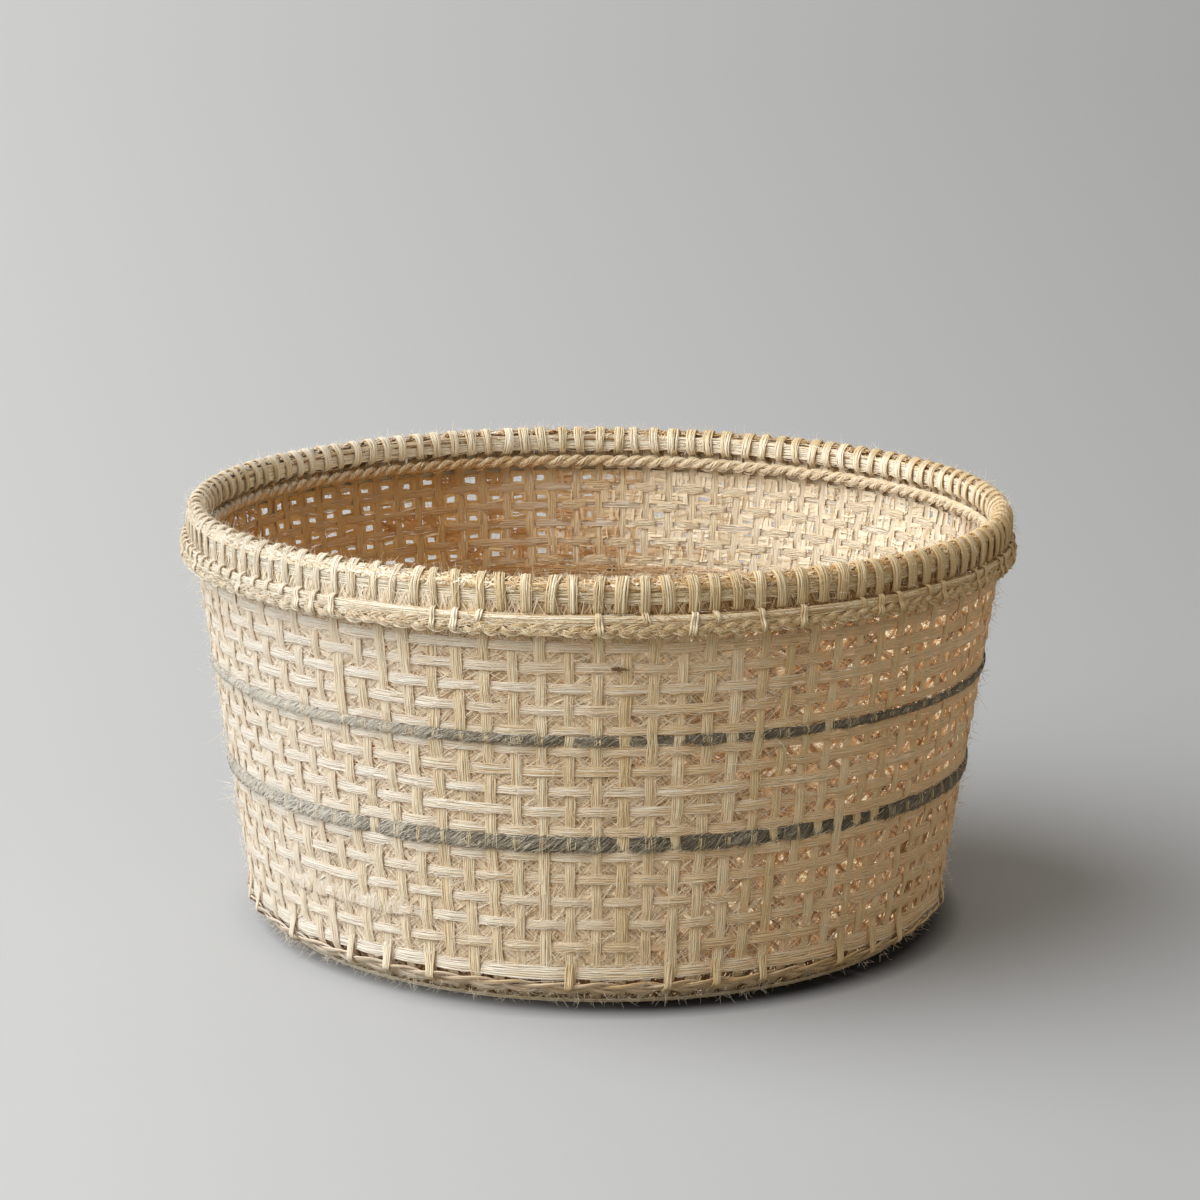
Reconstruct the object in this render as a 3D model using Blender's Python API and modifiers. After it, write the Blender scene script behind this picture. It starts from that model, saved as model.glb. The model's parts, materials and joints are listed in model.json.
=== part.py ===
"""Round tapered basket: a straw-coloured plain weave with two grey bands and a lashed rim.

Every row of the wall is one closed weaver that swings outside one stake and inside the next,
and neighbouring rows swing the opposite way. Lengths are in metres. The origin is the middle
of the flat underside, with +Z up.
"""
import math

import bmesh
import bpy
from mathutils import Matrix, Vector

MM = 0.001

# Overall form: the height over the lashing, and the centre line of the stakes
BASKET_HEIGHT = 154.6 * MM
RIM_RADIUS = 145.4 * MM
FOOT_RADIUS = 127.2 * MM
FOOT_BEND_HEIGHT = 12.5 * MM
CLEARANCE = 0.3 * MM

# Stakes
STAKE_COUNT = 96
STAKE_GROUPS = 8
STAKE_WIDTH = 2.8 * MM
STAKE_THICKNESS = 0.8 * MM
STAKE_END_DROP = 2.1 * MM

# Weavers
WEAVER_HEIGHT = 2.9 * MM
WEAVER_THICKNESS = 1.0 * MM
BOTTOM_WEAVER_HEIGHT = 4.4 * MM
ROW_TO_RIM_GAP = 3.6 * MM
LOWER_ROWS = 6
MIDDLE_ROWS = 5
UPPER_ROWS = 5

# Grey bands
WIDE_BAND_LEVEL_SHARE = 0.3933
WIDE_BAND_HEIGHT = 5.3 * MM
NARROW_BAND_LEVEL_SHARE = 0.6313
NARROW_BAND_HEIGHT = 3.3 * MM
BAND_THICKNESS = 1.1 * MM
BAND_TO_ROW_GAP = 0.5 * MM

# Foot
FOOT_RING_INSET = 9.2 * MM
FOOT_RING_WIDTH = 2.4 * MM
FOOT_RING_HEIGHT = 2.4 * MM
BASE_THICKNESS = 2.2 * MM
FOOT_BRAID_THICKNESS = 2.6 * MM
FOOT_BRAID_START_SHARE = 0.40
FOOT_BRAID_END_SHARE = 0.76

# Rim
HOOP_HEIGHT = 4.8 * MM
HOOP_THICKNESS = 2.4 * MM
CORE_THICKNESS = 1.3 * MM
CORE_SHOULDER = 0.9 * MM
LASHING_WIDTH = 3.0 * MM
LASHING_THICKNESS = 1.1 * MM
RECESS_HEIGHT = 1.8 * MM
CORD_HEIGHT = 3.8 * MM
CORD_THICKNESS = 4.3 * MM
BRAID_HEIGHT = 4.2 * MM
BRAID_THICKNESS = 5.2 * MM
ROPE_DIAMETER = 4.5 * MM

# A plain turned ring has a corner on every second stake
RING_STEPS = STAKE_COUNT // 2
MERGE_DISTANCE = 0.1 * MM

# Levels of the grey bands and radius of the foot ring
WIDE_BAND_LEVEL = BASKET_HEIGHT * WIDE_BAND_LEVEL_SHARE
NARROW_BAND_LEVEL = BASKET_HEIGHT * NARROW_BAND_LEVEL_SHARE
FOOT_RING_RADIUS = FOOT_RADIUS - FOOT_RING_INSET

# Heights of the rim, from the top down
CORE_TOP = BASKET_HEIGHT - LASHING_THICKNESS - CLEARANCE
CORE_BOTTOM = CORE_TOP - CORE_THICKNESS
HOOP_TOP = CORE_BOTTOM - CLEARANCE
HOOP_BOTTOM = HOOP_TOP - HOOP_HEIGHT
STAKE_TOP = HOOP_TOP - STAKE_END_DROP
CORD_TOP = HOOP_BOTTOM - CLEARANCE - LASHING_THICKNESS - RECESS_HEIGHT
CORD_BOTTOM = CORD_TOP - CORD_HEIGHT
BRAID_TOP = CORD_BOTTOM - CLEARANCE
BRAID_BOTTOM = BRAID_TOP - BRAID_HEIGHT

# Radii of the rim pieces, which lie against the stakes
OUTSIDE_STAKES = RIM_RADIUS + STAKE_THICKNESS / 2 + CLEARANCE
INSIDE_STAKES = RIM_RADIUS - STAKE_THICKNESS / 2 - CLEARANCE
HOOPS_OUTER = OUTSIDE_STAKES + HOOP_THICKNESS
HOOPS_INNER = INSIDE_STAKES - HOOP_THICKNESS

STRAW = (0.73, 0.60, 0.40, 1.0)
PALE_STRAW = (0.80, 0.69, 0.50, 1.0)
WARM_GREY = (0.25, 0.24, 0.21, 1.0)
STRAW_ROUGHNESS = 0.65
YARN_ROUGHNESS = 0.9


def clear_scene():
    for obj in list(bpy.data.objects):
        bpy.data.objects.remove(obj, do_unlink=True)


def fibre_material(name, colour, roughness):
    material = bpy.data.materials.new(name)
    material.use_nodes = True
    shader = material.node_tree.nodes["Principled BSDF"]
    shader.inputs["Base Color"].default_value = colour
    shader.inputs["Roughness"].default_value = roughness
    shader.inputs["Metallic"].default_value = 0.0
    return material


def add_object(collection, name, bm, colour, roughness=STRAW_ROUGHNESS):
    """Turn a bmesh into one named object with a material of its own."""
    mesh = bpy.data.meshes.new(name)
    bm.to_mesh(mesh)
    bm.free()
    mesh.materials.append(fibre_material(name + "_fibre", colour, roughness))
    obj = bpy.data.objects.new(name, mesh)
    collection.objects.link(obj)
    return obj


def wall_radius(height):
    """Radius of the stakes' centre line, tapered from the foot bend to the rim."""
    share = (height - FOOT_BEND_HEIGHT) / (BRAID_BOTTOM - FOOT_BEND_HEIGHT)
    return FOOT_RADIUS + (RIM_RADIUS - FOOT_RADIUS) * min(share, 1)


def weave_swing(height, thickness):
    """How far a weaver swings from the stakes' centre line to clear their corners."""
    pitch = 2 * math.pi * wall_radius(height) / STAKE_COUNT
    straight_part = 1 - STAKE_WIDTH / pitch
    swing = (STAKE_THICKNESS + thickness) / 2 + CLEARANCE
    slant = math.atan(2 * swing / straight_part / pitch)
    return (STAKE_THICKNESS / 2 + CLEARANCE + thickness / 2 / math.cos(slant)) / straight_part


def profile_bmesh(points):
    """A closed outline in the XZ plane, from (radius, height) pairs."""
    bm = bmesh.new()
    verts = [bm.verts.new((radius, 0, height)) for radius, height in points]
    for start, end in zip(verts, verts[1:] + verts[:1]):
        bm.edges.new((start, end))
    return bm


def spun_bmesh(points, steps):
    """The outline turned about the Z axis and closed on itself."""
    bm = profile_bmesh(points)
    bmesh.ops.spin(
        bm, geom=bm.verts[:] + bm.edges[:], cent=(0, 0, 0), axis=(0, 0, 1),
        dvec=(0, 0, 0), angle=2 * math.pi, steps=steps, use_merge=True, use_duplicate=False)
    bmesh.ops.recalc_face_normals(bm, faces=bm.faces[:])
    return bm


def turned_ring(collection, name, points, colour):
    """A plain ring, whose outline runs down its outer side."""
    obj = add_object(collection, name, profile_bmesh(points), colour)
    screw = obj.modifiers.new("Turn", "SCREW")
    screw.axis = "Z"
    screw.angle = 2 * math.pi
    screw.steps = RING_STEPS
    screw.render_steps = RING_STEPS
    screw.use_merge_vertices = True
    screw.merge_threshold = MERGE_DISTANCE
    return obj


def flats_at(radius):
    """Corner radius of a faceted ring whose flats just reach the given radius."""
    return radius / math.cos(math.pi / RING_STEPS)


def square_section(inner, outer, bottom, top):
    return [(outer, top), (outer, bottom), (flats_at(inner), bottom), (flats_at(inner), top)]


def round_section(inner, outer, bottom, top):
    """A six-sided section, flat above and below, for a round strand."""
    near = flats_at(inner)
    quarter = (outer - near) / 4
    middle = (top + bottom) / 2
    return [
        (outer - quarter, top), (outer, middle), (outer - quarter, bottom),
        (near + quarter, bottom), (near, middle), (near + quarter, top)]


def station_of(vert):
    """Number of the stake that a weaver's vertex lies at."""
    angle = math.atan2(vert.co.y, vert.co.x)
    return round(angle * STAKE_COUNT / (2 * math.pi)) % STAKE_COUNT


def outward_at(point):
    return Vector((point.x, point.y, 0)).normalized()


def woven_ring(collection, name, level, height, thickness, first_side, colour, roughness):
    """One weaver: a ring with a station at every stake, swung out and in by turns."""
    half_height = height / 2
    half_thickness = thickness / 2
    section = [
        (wall_radius(level + half_height) + half_thickness, level + half_height),
        (wall_radius(level - half_height) + half_thickness, level - half_height),
        (wall_radius(level) - half_thickness, level)]
    bm = spun_bmesh(section, STAKE_COUNT)
    swing = weave_swing(level, thickness)
    for vert in bm.verts:
        side = first_side if station_of(vert) % 2 == 0 else -first_side
        vert.co += outward_at(vert.co) * swing * side
    return add_object(collection, name, bm, colour, roughness)


def spread_levels(lowest, highest, count):
    step = (highest - lowest) / (count - 1)
    return [lowest + step * row for row in range(count)]


def row_levels():
    """Heights of the plain rows, which fill the wall below, between and above the bands."""
    half_row = WEAVER_HEIGHT / 2
    bottom = FOOT_BEND_HEIGHT + BOTTOM_WEAVER_HEIGHT / 2 + CLEARANCE
    wide_reach = WIDE_BAND_HEIGHT / 2 + BAND_TO_ROW_GAP + half_row
    narrow_reach = NARROW_BAND_HEIGHT / 2 + BAND_TO_ROW_GAP + half_row
    top = BRAID_BOTTOM - ROW_TO_RIM_GAP - half_row
    return (
        spread_levels(bottom, WIDE_BAND_LEVEL - wide_reach, LOWER_ROWS)
        + spread_levels(WIDE_BAND_LEVEL + wide_reach, NARROW_BAND_LEVEL - narrow_reach, MIDDLE_ROWS)
        + spread_levels(NARROW_BAND_LEVEL + narrow_reach, top, UPPER_ROWS))


def make_wall(collection):
    """The plain rows and both grey bands, woven from the foot up."""
    rows = [(level, WEAVER_HEIGHT, False) for level in row_levels()]
    rows[0] = (rows[0][0], BOTTOM_WEAVER_HEIGHT, False)
    rows.append((WIDE_BAND_LEVEL, WIDE_BAND_HEIGHT, True))
    rows.append((NARROW_BAND_LEVEL, NARROW_BAND_HEIGHT, True))
    band_names = iter(("grey_band_wide", "grey_band_narrow"))
    plain_row = 0
    for order, (level, height, is_band) in enumerate(sorted(rows)):
        first_side = 1 if order % 2 == 0 else -1
        if is_band:
            woven_ring(collection, next(band_names), level, height, BAND_THICKNESS,
                       first_side, WARM_GREY, YARN_ROUGHNESS)
            continue
        plain_row += 1
        woven_ring(collection, f"weaver_{plain_row:02d}", level, height, WEAVER_THICKNESS,
                   first_side, PALE_STRAW, STRAW_ROUGHNESS)


def foot_lean():
    """Angle from the vertical of the stakes between the foot ring and the foot bend."""
    return math.atan2(FOOT_RADIUS - FOOT_RING_RADIUS, FOOT_BEND_HEIGHT - FOOT_RING_HEIGHT / 2)


def wall_lean():
    return math.atan2(RIM_RADIUS - FOOT_RADIUS, BRAID_BOTTOM - FOOT_BEND_HEIGHT)


def place_stake_end(face, radius, height, lean, starts_at_ring):
    """Move the end face of one stake to its next place on the way up."""
    centre = face.calc_center_median()
    outward = outward_at(centre)
    along = Vector((-outward.y, outward.x, 0))
    normal = outward * math.cos(lean) - Vector((0, 0, 1)) * math.sin(lean)
    for vert in face.verts:
        offset = vert.co - centre
        side = 1 if offset.dot(along) > 0 else -1
        faces_out = offset.z < 0 if starts_at_ring else offset.dot(outward) > 0
        layer = 1 if faces_out else -1
        vert.co = (
            outward * radius + Vector((0, 0, height))
            + along * side * STAKE_WIDTH / 2 + normal * layer * STAKE_THICKNESS / 2)


def make_stake_group(collection, group):
    """An arc of the foot ring, with a stake drawn up out of each of its outer facets."""
    step = 2 * math.pi / STAKE_COUNT
    stakes = STAKE_COUNT // STAKE_GROUPS
    first_corner = (group * stakes - 0.5) * step
    inner = FOOT_RING_RADIUS - FOOT_RING_WIDTH
    bm = profile_bmesh([
        (FOOT_RING_RADIUS, FOOT_RING_HEIGHT), (FOOT_RING_RADIUS, 0), (inner, 0),
        (inner, FOOT_RING_HEIGHT)])
    turn = Matrix.Rotation(first_corner, 3, "Z")
    bmesh.ops.rotate(bm, verts=bm.verts[:], cent=(0, 0, 0), matrix=turn)
    near_end = bm.verts[:]
    spun = bmesh.ops.spin(
        bm, geom=bm.verts[:] + bm.edges[:], cent=(0, 0, 0), axis=(0, 0, 1),
        dvec=(0, 0, 0), angle=stakes * step, steps=stakes, use_duplicate=False)
    far_end = [item for item in spun["geom_last"] if isinstance(item, bmesh.types.BMVert)]
    for verts, angle, side in ((near_end, first_corner, 1), (far_end, first_corner + stakes * step, -1)):
        along = Vector((-math.sin(angle), math.cos(angle), 0))
        bmesh.ops.translate(bm, verts=verts, vec=along * side * CLEARANCE / 2)
        bmesh.ops.contextual_create(bm, geom=verts)
    bmesh.ops.recalc_face_normals(bm, faces=bm.faces[:])
    ends = [face for face in bm.faces
            if face.normal.dot(outward_at(face.calc_center_median())) > math.cos(step)]
    path = [
        (FOOT_RADIUS, FOOT_BEND_HEIGHT, (foot_lean() + wall_lean()) / 2),
        (RIM_RADIUS, BRAID_BOTTOM, wall_lean() / 2),
        (RIM_RADIUS, STAKE_TOP, 0)]
    for level, (radius, height, lean) in enumerate(path):
        ends = bmesh.ops.extrude_discrete_faces(bm, faces=ends)["faces"]
        for face in ends:
            place_stake_end(face, radius, height, lean, level == 0)
    bmesh.ops.recalc_face_normals(bm, faces=bm.faces[:])
    add_object(collection, f"side_stakes_{group + 1}", bm, STRAW)


def make_base(collection):
    """The flat mat that the foot ring goes round."""
    radius = FOOT_RING_RADIUS - FOOT_RING_WIDTH - CLEARANCE
    ring_flat = math.cos(math.pi / STAKE_COUNT)
    bpy.ops.mesh.primitive_cylinder_add(
        vertices=STAKE_COUNT, radius=radius * ring_flat, depth=BASE_THICKNESS,
        location=(0, 0, BASE_THICKNESS / 2))
    mat = bpy.context.object
    mat.name = "base_mat"
    mat.data.name = "base_mat"
    mat.data.materials.append(fibre_material("base_mat_fibre", STRAW, STRAW_ROUGHNESS))
    for owner in list(mat.users_collection):
        owner.objects.unlink(mat)
    collection.objects.link(mat)


def make_foot_braid(collection):
    """The border strand that lies on the stakes below the bend, square to their lean."""
    ring_middle = FOOT_RING_HEIGHT / 2
    lean = foot_lean()
    offset = (FOOT_RING_HEIGHT * (1 - FOOT_BRAID_START_SHARE)
              + STAKE_THICKNESS * FOOT_BRAID_START_SHARE) / 2 + CLEARANCE

    def point(share, away):
        radius = FOOT_RING_RADIUS + (FOOT_RADIUS - FOOT_RING_RADIUS) * share
        height = ring_middle + (FOOT_BEND_HEIGHT - ring_middle) * share
        return radius + away * math.cos(lean), height - away * math.sin(lean)

    top_out = point(FOOT_BRAID_END_SHARE, offset + FOOT_BRAID_THICKNESS)
    bottom_out = point(FOOT_BRAID_START_SHARE, offset + FOOT_BRAID_THICKNESS)
    bottom_in = point(FOOT_BRAID_START_SHARE, offset)
    top_in = point(FOOT_BRAID_END_SHARE, offset)
    outline = [
        top_out, bottom_out, (flats_at(bottom_in[0]), bottom_in[1]), (flats_at(top_in[0]), top_in[1])]
    turned_ring(collection, "foot_braid", outline, PALE_STRAW)


def make_rim_rings(collection):
    """The hoops on both sides of the stakes, the filler over them and the cords below."""
    turned_ring(collection, "rim_outer_hoop",
                square_section(OUTSIDE_STAKES, HOOPS_OUTER, HOOP_BOTTOM, HOOP_TOP), PALE_STRAW)
    turned_ring(collection, "rim_inner_hoop",
                square_section(HOOPS_INNER, INSIDE_STAKES, HOOP_BOTTOM, HOOP_TOP), PALE_STRAW)
    near = flats_at(HOOPS_INNER)
    core_outline = [
        (HOOPS_OUTER - CORE_SHOULDER, CORE_TOP), (HOOPS_OUTER, CORE_BOTTOM),
        (near, CORE_BOTTOM), (near + CORE_SHOULDER, CORE_TOP)]
    turned_ring(collection, "rim_core", core_outline, STRAW)
    turned_ring(collection, "rim_cord",
                round_section(OUTSIDE_STAKES, OUTSIDE_STAKES + CORD_THICKNESS, CORD_BOTTOM, CORD_TOP),
                PALE_STRAW)
    turned_ring(collection, "rim_braid",
                round_section(OUTSIDE_STAKES, OUTSIDE_STAKES + BRAID_THICKNESS, BRAID_BOTTOM, BRAID_TOP),
                PALE_STRAW)
    turned_ring(collection, "inner_rope",
                round_section(INSIDE_STAKES - ROPE_DIAMETER, INSIDE_STAKES, CORD_TOP - ROPE_DIAMETER,
                              CORD_TOP), STRAW)


def lashing_corners():
    """The corners of the whole lashing: radius, height, angle and the ridge's direction.

    Each turn rises outside the hoops, slants over them and down inside to the next gap
    between two stakes, and passes out through it.
    """
    outer = HOOPS_OUTER + CLEARANCE
    inner = HOOPS_INNER - CLEARANCE
    top = CORE_TOP + CLEARANCE
    bottom = HOOP_BOTTOM - CLEARANCE
    step = 2 * math.pi / STAKE_COUNT
    corners = []
    for turn in range(STAKE_COUNT):
        gap = step * (turn + 0.5)
        corners.append((outer, bottom, gap, 1, -1))
        corners.append((outer, top, gap, 1, 1))
        corners.append((inner, top, gap + step / 2, -1, 1))
        corners.append((inner, bottom, gap + step, -1, -1))
    return corners


def corner_point(radius, height, angle):
    return Vector((radius * math.cos(angle), radius * math.sin(angle), height))


def report_lashing_gap(corners):
    """Print the least gap between neighbouring turns, measured between their side edges."""
    per_turn = len(corners) // STAKE_COUNT
    least = min(
        (corner_point(*corners[index][:3]) - corner_point(*corners[index + per_turn][:3])).length
        for index in range(len(corners) - per_turn))
    slant = math.cos(math.atan2(math.pi * HOOPS_INNER / STAKE_COUNT, HOOP_HEIGHT))
    print(f"least gap between lashing turns: {(least * slant - LASHING_WIDTH) / MM:.2f} mm")


def make_lashing(collection):
    """One unbroken strand of three-sided section, wound through every gap of the stakes."""
    corners = lashing_corners()
    report_lashing_gap(corners)
    bm = bmesh.new()
    sections = []
    for radius, height, angle, out_sign, up_sign in corners:
        along = Vector((-math.sin(angle), math.cos(angle), 0)) * LASHING_WIDTH / 2
        base = corner_point(radius, height, angle)
        ridge = corner_point(
            radius + LASHING_THICKNESS * out_sign, height + LASHING_THICKNESS * up_sign, angle)
        sections.append([bm.verts.new(base - along), bm.verts.new(ridge), bm.verts.new(base + along)])
    for near, far in zip(sections, sections[1:] + sections[:1]):
        for side in range(3):
            following = (side + 1) % 3
            bm.faces.new((near[side], near[following], far[following], far[side]))
    bmesh.ops.recalc_face_normals(bm, faces=bm.faces[:])
    add_object(collection, "rim_lashing", bm, PALE_STRAW)


def main():
    clear_scene()
    collection = bpy.data.collections.new("belly_basket")
    bpy.context.scene.collection.children.link(collection)
    make_base(collection)
    for group in range(STAKE_GROUPS):
        make_stake_group(collection, group)
    make_foot_braid(collection)
    make_wall(collection)
    make_rim_rings(collection)
    make_lashing(collection)


main()
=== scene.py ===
"""Looks of the round woven basket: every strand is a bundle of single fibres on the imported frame.

Lengths are in metres, +Z up, and the origin is the middle of the underside. The levels and
reaches of the strands come from the frame's nodes. Each section draws from its own seeded source.
"""

import json
import math

import bpy
import numpy as np
from mathutils import Euler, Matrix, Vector

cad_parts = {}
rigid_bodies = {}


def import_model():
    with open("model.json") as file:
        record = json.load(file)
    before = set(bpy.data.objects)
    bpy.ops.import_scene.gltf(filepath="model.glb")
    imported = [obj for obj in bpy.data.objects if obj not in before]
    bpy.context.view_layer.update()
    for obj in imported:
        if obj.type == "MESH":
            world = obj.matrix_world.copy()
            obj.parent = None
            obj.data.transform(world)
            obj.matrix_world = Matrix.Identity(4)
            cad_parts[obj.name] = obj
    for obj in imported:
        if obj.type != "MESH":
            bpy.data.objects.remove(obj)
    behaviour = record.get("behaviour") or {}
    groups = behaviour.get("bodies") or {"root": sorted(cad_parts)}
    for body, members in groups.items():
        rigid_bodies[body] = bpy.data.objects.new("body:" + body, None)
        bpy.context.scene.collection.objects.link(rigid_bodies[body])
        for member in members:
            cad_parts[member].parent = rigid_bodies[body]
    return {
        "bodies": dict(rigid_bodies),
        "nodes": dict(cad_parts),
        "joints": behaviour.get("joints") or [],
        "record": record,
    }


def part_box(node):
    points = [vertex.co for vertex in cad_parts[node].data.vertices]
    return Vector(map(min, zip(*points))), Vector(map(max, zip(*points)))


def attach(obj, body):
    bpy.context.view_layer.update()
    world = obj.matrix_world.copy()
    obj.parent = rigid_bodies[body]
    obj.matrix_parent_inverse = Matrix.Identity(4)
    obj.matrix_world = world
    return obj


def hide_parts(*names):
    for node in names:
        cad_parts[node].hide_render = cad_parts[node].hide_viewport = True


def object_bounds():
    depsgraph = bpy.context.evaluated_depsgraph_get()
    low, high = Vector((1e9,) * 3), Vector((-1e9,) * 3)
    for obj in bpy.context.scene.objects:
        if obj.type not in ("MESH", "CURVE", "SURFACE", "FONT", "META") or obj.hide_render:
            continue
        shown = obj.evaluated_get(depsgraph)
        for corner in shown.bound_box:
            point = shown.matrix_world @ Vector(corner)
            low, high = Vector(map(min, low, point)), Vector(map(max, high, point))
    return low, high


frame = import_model()
CAD_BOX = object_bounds()

MM = 0.001
TURN = 2 * math.pi

# The stakes' centre line, as packed: foot ring, foot bend, straight taper, upright rim
STAKE_COUNT = 96
STAKE_GROUPS = 8
RING_RADIUS = 117.0 * MM
RING_LEVEL = 1.5 * MM
FOOT_RADIUS = 127.2 * MM
FOOT_BEND = 12.5 * MM
FOOT_BULGE = (124.6 * MM, 5.4 * MM)
RIM_RADIUS = 145.4 * MM
STAKE_TOP = 149.4 * MM

# Strands
STAKE_WIDTH = 3.7 * MM
STAKE_DEPTH = 0.5 * MM
STAKE_SWING = 0.22 * MM
WEAVER_DEPTH = 0.5 * MM
WEAVER_SWING = 0.3 * MM
FIBRES = 6
LOOPS = 120
LOOP_WIDTH = 3.5 * MM
LOOP_DEPTH = 0.9 * MM


def node_level(name):
    """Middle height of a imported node."""
    low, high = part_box(name)
    return (low.z + high.z) / 2


def node_height(name):
    low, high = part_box(name)
    return high.z - low.z


def node_reach(name):
    """Outer radius of a packed ring."""
    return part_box(name)[1].x


BRAID_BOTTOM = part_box("rim_braid")[0].z
ROWS = sorted(
    [f"weaver_{number:02d}" for number in range(1, 17)] + ["grey_band_wide", "grey_band_narrow"],
    key=node_level)
LEVELS = np.array([node_level(name) for name in ROWS])
LEVELS[0] -= 0.8 * MM


def wall_radius(level):
    share = (np.asarray(level) - FOOT_BEND) / (BRAID_BOTTOM - FOOT_BEND)
    return FOOT_RADIUS + (RIM_RADIUS - FOOT_RADIUS) * np.minimum(share, 1)


# Vector helpers

def unit(vectors):
    return vectors / np.linalg.norm(vectors, axis=-1, keepdims=True)


def outward(angle):
    return np.stack([np.cos(angle), np.sin(angle), np.zeros_like(angle)], axis=-1)


def polar(radius, angle, level):
    radius, angle, level = np.broadcast_arrays(radius, angle, level)
    return np.stack([radius * np.cos(angle), radius * np.sin(angle), level], axis=-1)


def ease(share):
    share = np.clip(share, 0, 1)
    return share * share * (3 - 2 * share)


def smooth_noise(source, series, count, knots, closed=False):
    """Rows of smooth noise from -1 to 1 through evenly spaced random knots."""
    values = source.uniform(-1, 1, (series, knots if closed else knots + 1))
    position = np.arange(count) * knots / (count if closed else count - 1)
    before = np.minimum(position.astype(int), knots - 1)
    share = ease(position - before)
    after = (before + 1) % values.shape[1]
    return values[:, before] * (1 - share) + values[:, after] * share


def curve_through(points, count, closed=False):
    """Evenly spaced steps along a Catmull-Rom curve through the points."""
    points = np.asarray(points, float)
    if closed:
        padded = np.concatenate([points[-1:], points, points[:2]])
        spans = len(points)
        position = np.arange(count) * spans / count
    else:
        padded = np.concatenate([2 * points[:1] - points[1:2], points, 2 * points[-1:] - points[-2:-1]])
        spans = len(points) - 1
        position = np.linspace(0, spans, count)
    span = np.minimum(position.astype(int), spans - 1)
    t = (position - span)[:, None]
    p0, p1, p2, p3 = (padded[span + step] for step in range(4))
    return 0.5 * (2 * p1 + (p2 - p0) * t + (2 * p0 - 5 * p1 + 4 * p2 - p3) * t ** 2
                  + (3 * p1 - p0 - 3 * p2 + p3) * t ** 3)


def path_frame(path, out_hint, closed=False, tilt=None):
    """Across and out directions of each step of the paths, turned by an optional tilt."""
    if closed:
        tangent = np.roll(path, -1, axis=1) - np.roll(path, 1, axis=1)
    else:
        tangent = np.gradient(path, axis=1)
    tangent = unit(tangent)
    across = unit(np.cross(np.broadcast_to(out_hint, path.shape), tangent))
    out = np.cross(tangent, across)
    if tilt is None:
        return across, out
    cosine, sine = np.cos(tilt)[..., None], np.sin(tilt)[..., None]
    return across * cosine + out * sine, out * cosine - across * sine


class Strands:
    """Oval tubes, or ribbons of two sides, swept along paths and gathered into one mesh."""

    def __init__(self):
        self.points = []
        self.grain = []
        self.faces = []
        self.total = 0

    def add(self, path, across, out, half_width, half_depth, tone, sides=4, closed=False, rim=0.5):
        """path is tubes x steps x 3. tone, from 0 to 1, and rim, how dark its sides are, are
        one number for each tube."""
        tubes, steps = path.shape[:2]
        half_width = np.broadcast_to(half_width, (tubes, steps))[..., None, None]
        half_depth = np.broadcast_to(half_depth, (tubes, steps))[..., None, None]
        square = sides == 4
        angle = TURN * (np.arange(sides) + 0.5 * square) / sides
        swell = 1.25 if square else 1.0
        points = (path[:, :, None]
                  + across[:, :, None] * half_width * swell * np.cos(angle)[:, None]
                  + out[:, :, None] * half_depth * swell * np.sin(angle)[:, None])
        length = np.linalg.norm(np.diff(path, axis=1), axis=-1)
        along = np.concatenate([np.zeros((tubes, 1)), np.cumsum(length, axis=1)], axis=1)
        shape = (tubes, steps, sides)
        grain = np.stack([
            np.broadcast_to(along[..., None], shape),
            np.cos(angle) / np.abs(np.cos(angle)).max() * np.broadcast_to(rim, tubes)[:, None, None] * np.ones(shape),
            np.broadcast_to(np.asarray(tone, float)[:, None, None], shape)], axis=-1)
        index = self.total + np.arange(points[..., 0].size).reshape(shape)
        start = index if closed else index[:, :-1]
        end = np.roll(index, -1, axis=1) if closed else index[:, 1:]
        quads = np.stack([start, np.roll(start, -1, axis=2), np.roll(end, -1, axis=2), end], axis=-1)
        if sides == 2:
            quads = quads[:, :, :1]
        self.faces.append(quads.reshape(-1, 4))
        if not closed and sides > 2:
            self.faces.append(index[:, 0, ::-1])
            self.faces.append(index[:, -1])
        self.points.append(points.reshape(-1, 3))
        self.grain.append(grain.reshape(-1, 3))
        self.total += points[..., 0].size

    def build(self, name, material, slot=None, replaces=()):
        mesh = bpy.data.meshes.new(name)
        points = np.concatenate(self.points)
        sizes = np.concatenate([np.full(len(faces), faces.shape[1]) for faces in self.faces])
        corners = np.concatenate([faces.ravel() for faces in self.faces])
        mesh.vertices.add(len(points))
        mesh.vertices.foreach_set("co", points.astype(np.float32).ravel())
        mesh.loops.add(len(corners))
        mesh.loops.foreach_set("vertex_index", corners.astype(np.int32))
        mesh.polygons.add(len(sizes))
        mesh.polygons.foreach_set("loop_start", (np.cumsum(sizes) - sizes).astype(np.int32))
        mesh.polygons.foreach_set("use_smooth", np.ones(len(sizes), bool))
        mesh.update(calc_edges=True)
        grain = mesh.attributes.new("grain", "FLOAT_VECTOR", "POINT")
        grain.data.foreach_set("vector", np.concatenate(self.grain).astype(np.float32).ravel())
        mesh.materials.append(material)
        piece = bpy.data.objects.new(name, mesh)
        bpy.context.scene.collection.objects.link(piece)
        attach(piece, "root")
        if replaces:
            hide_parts(*replaces)
        return piece


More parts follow.
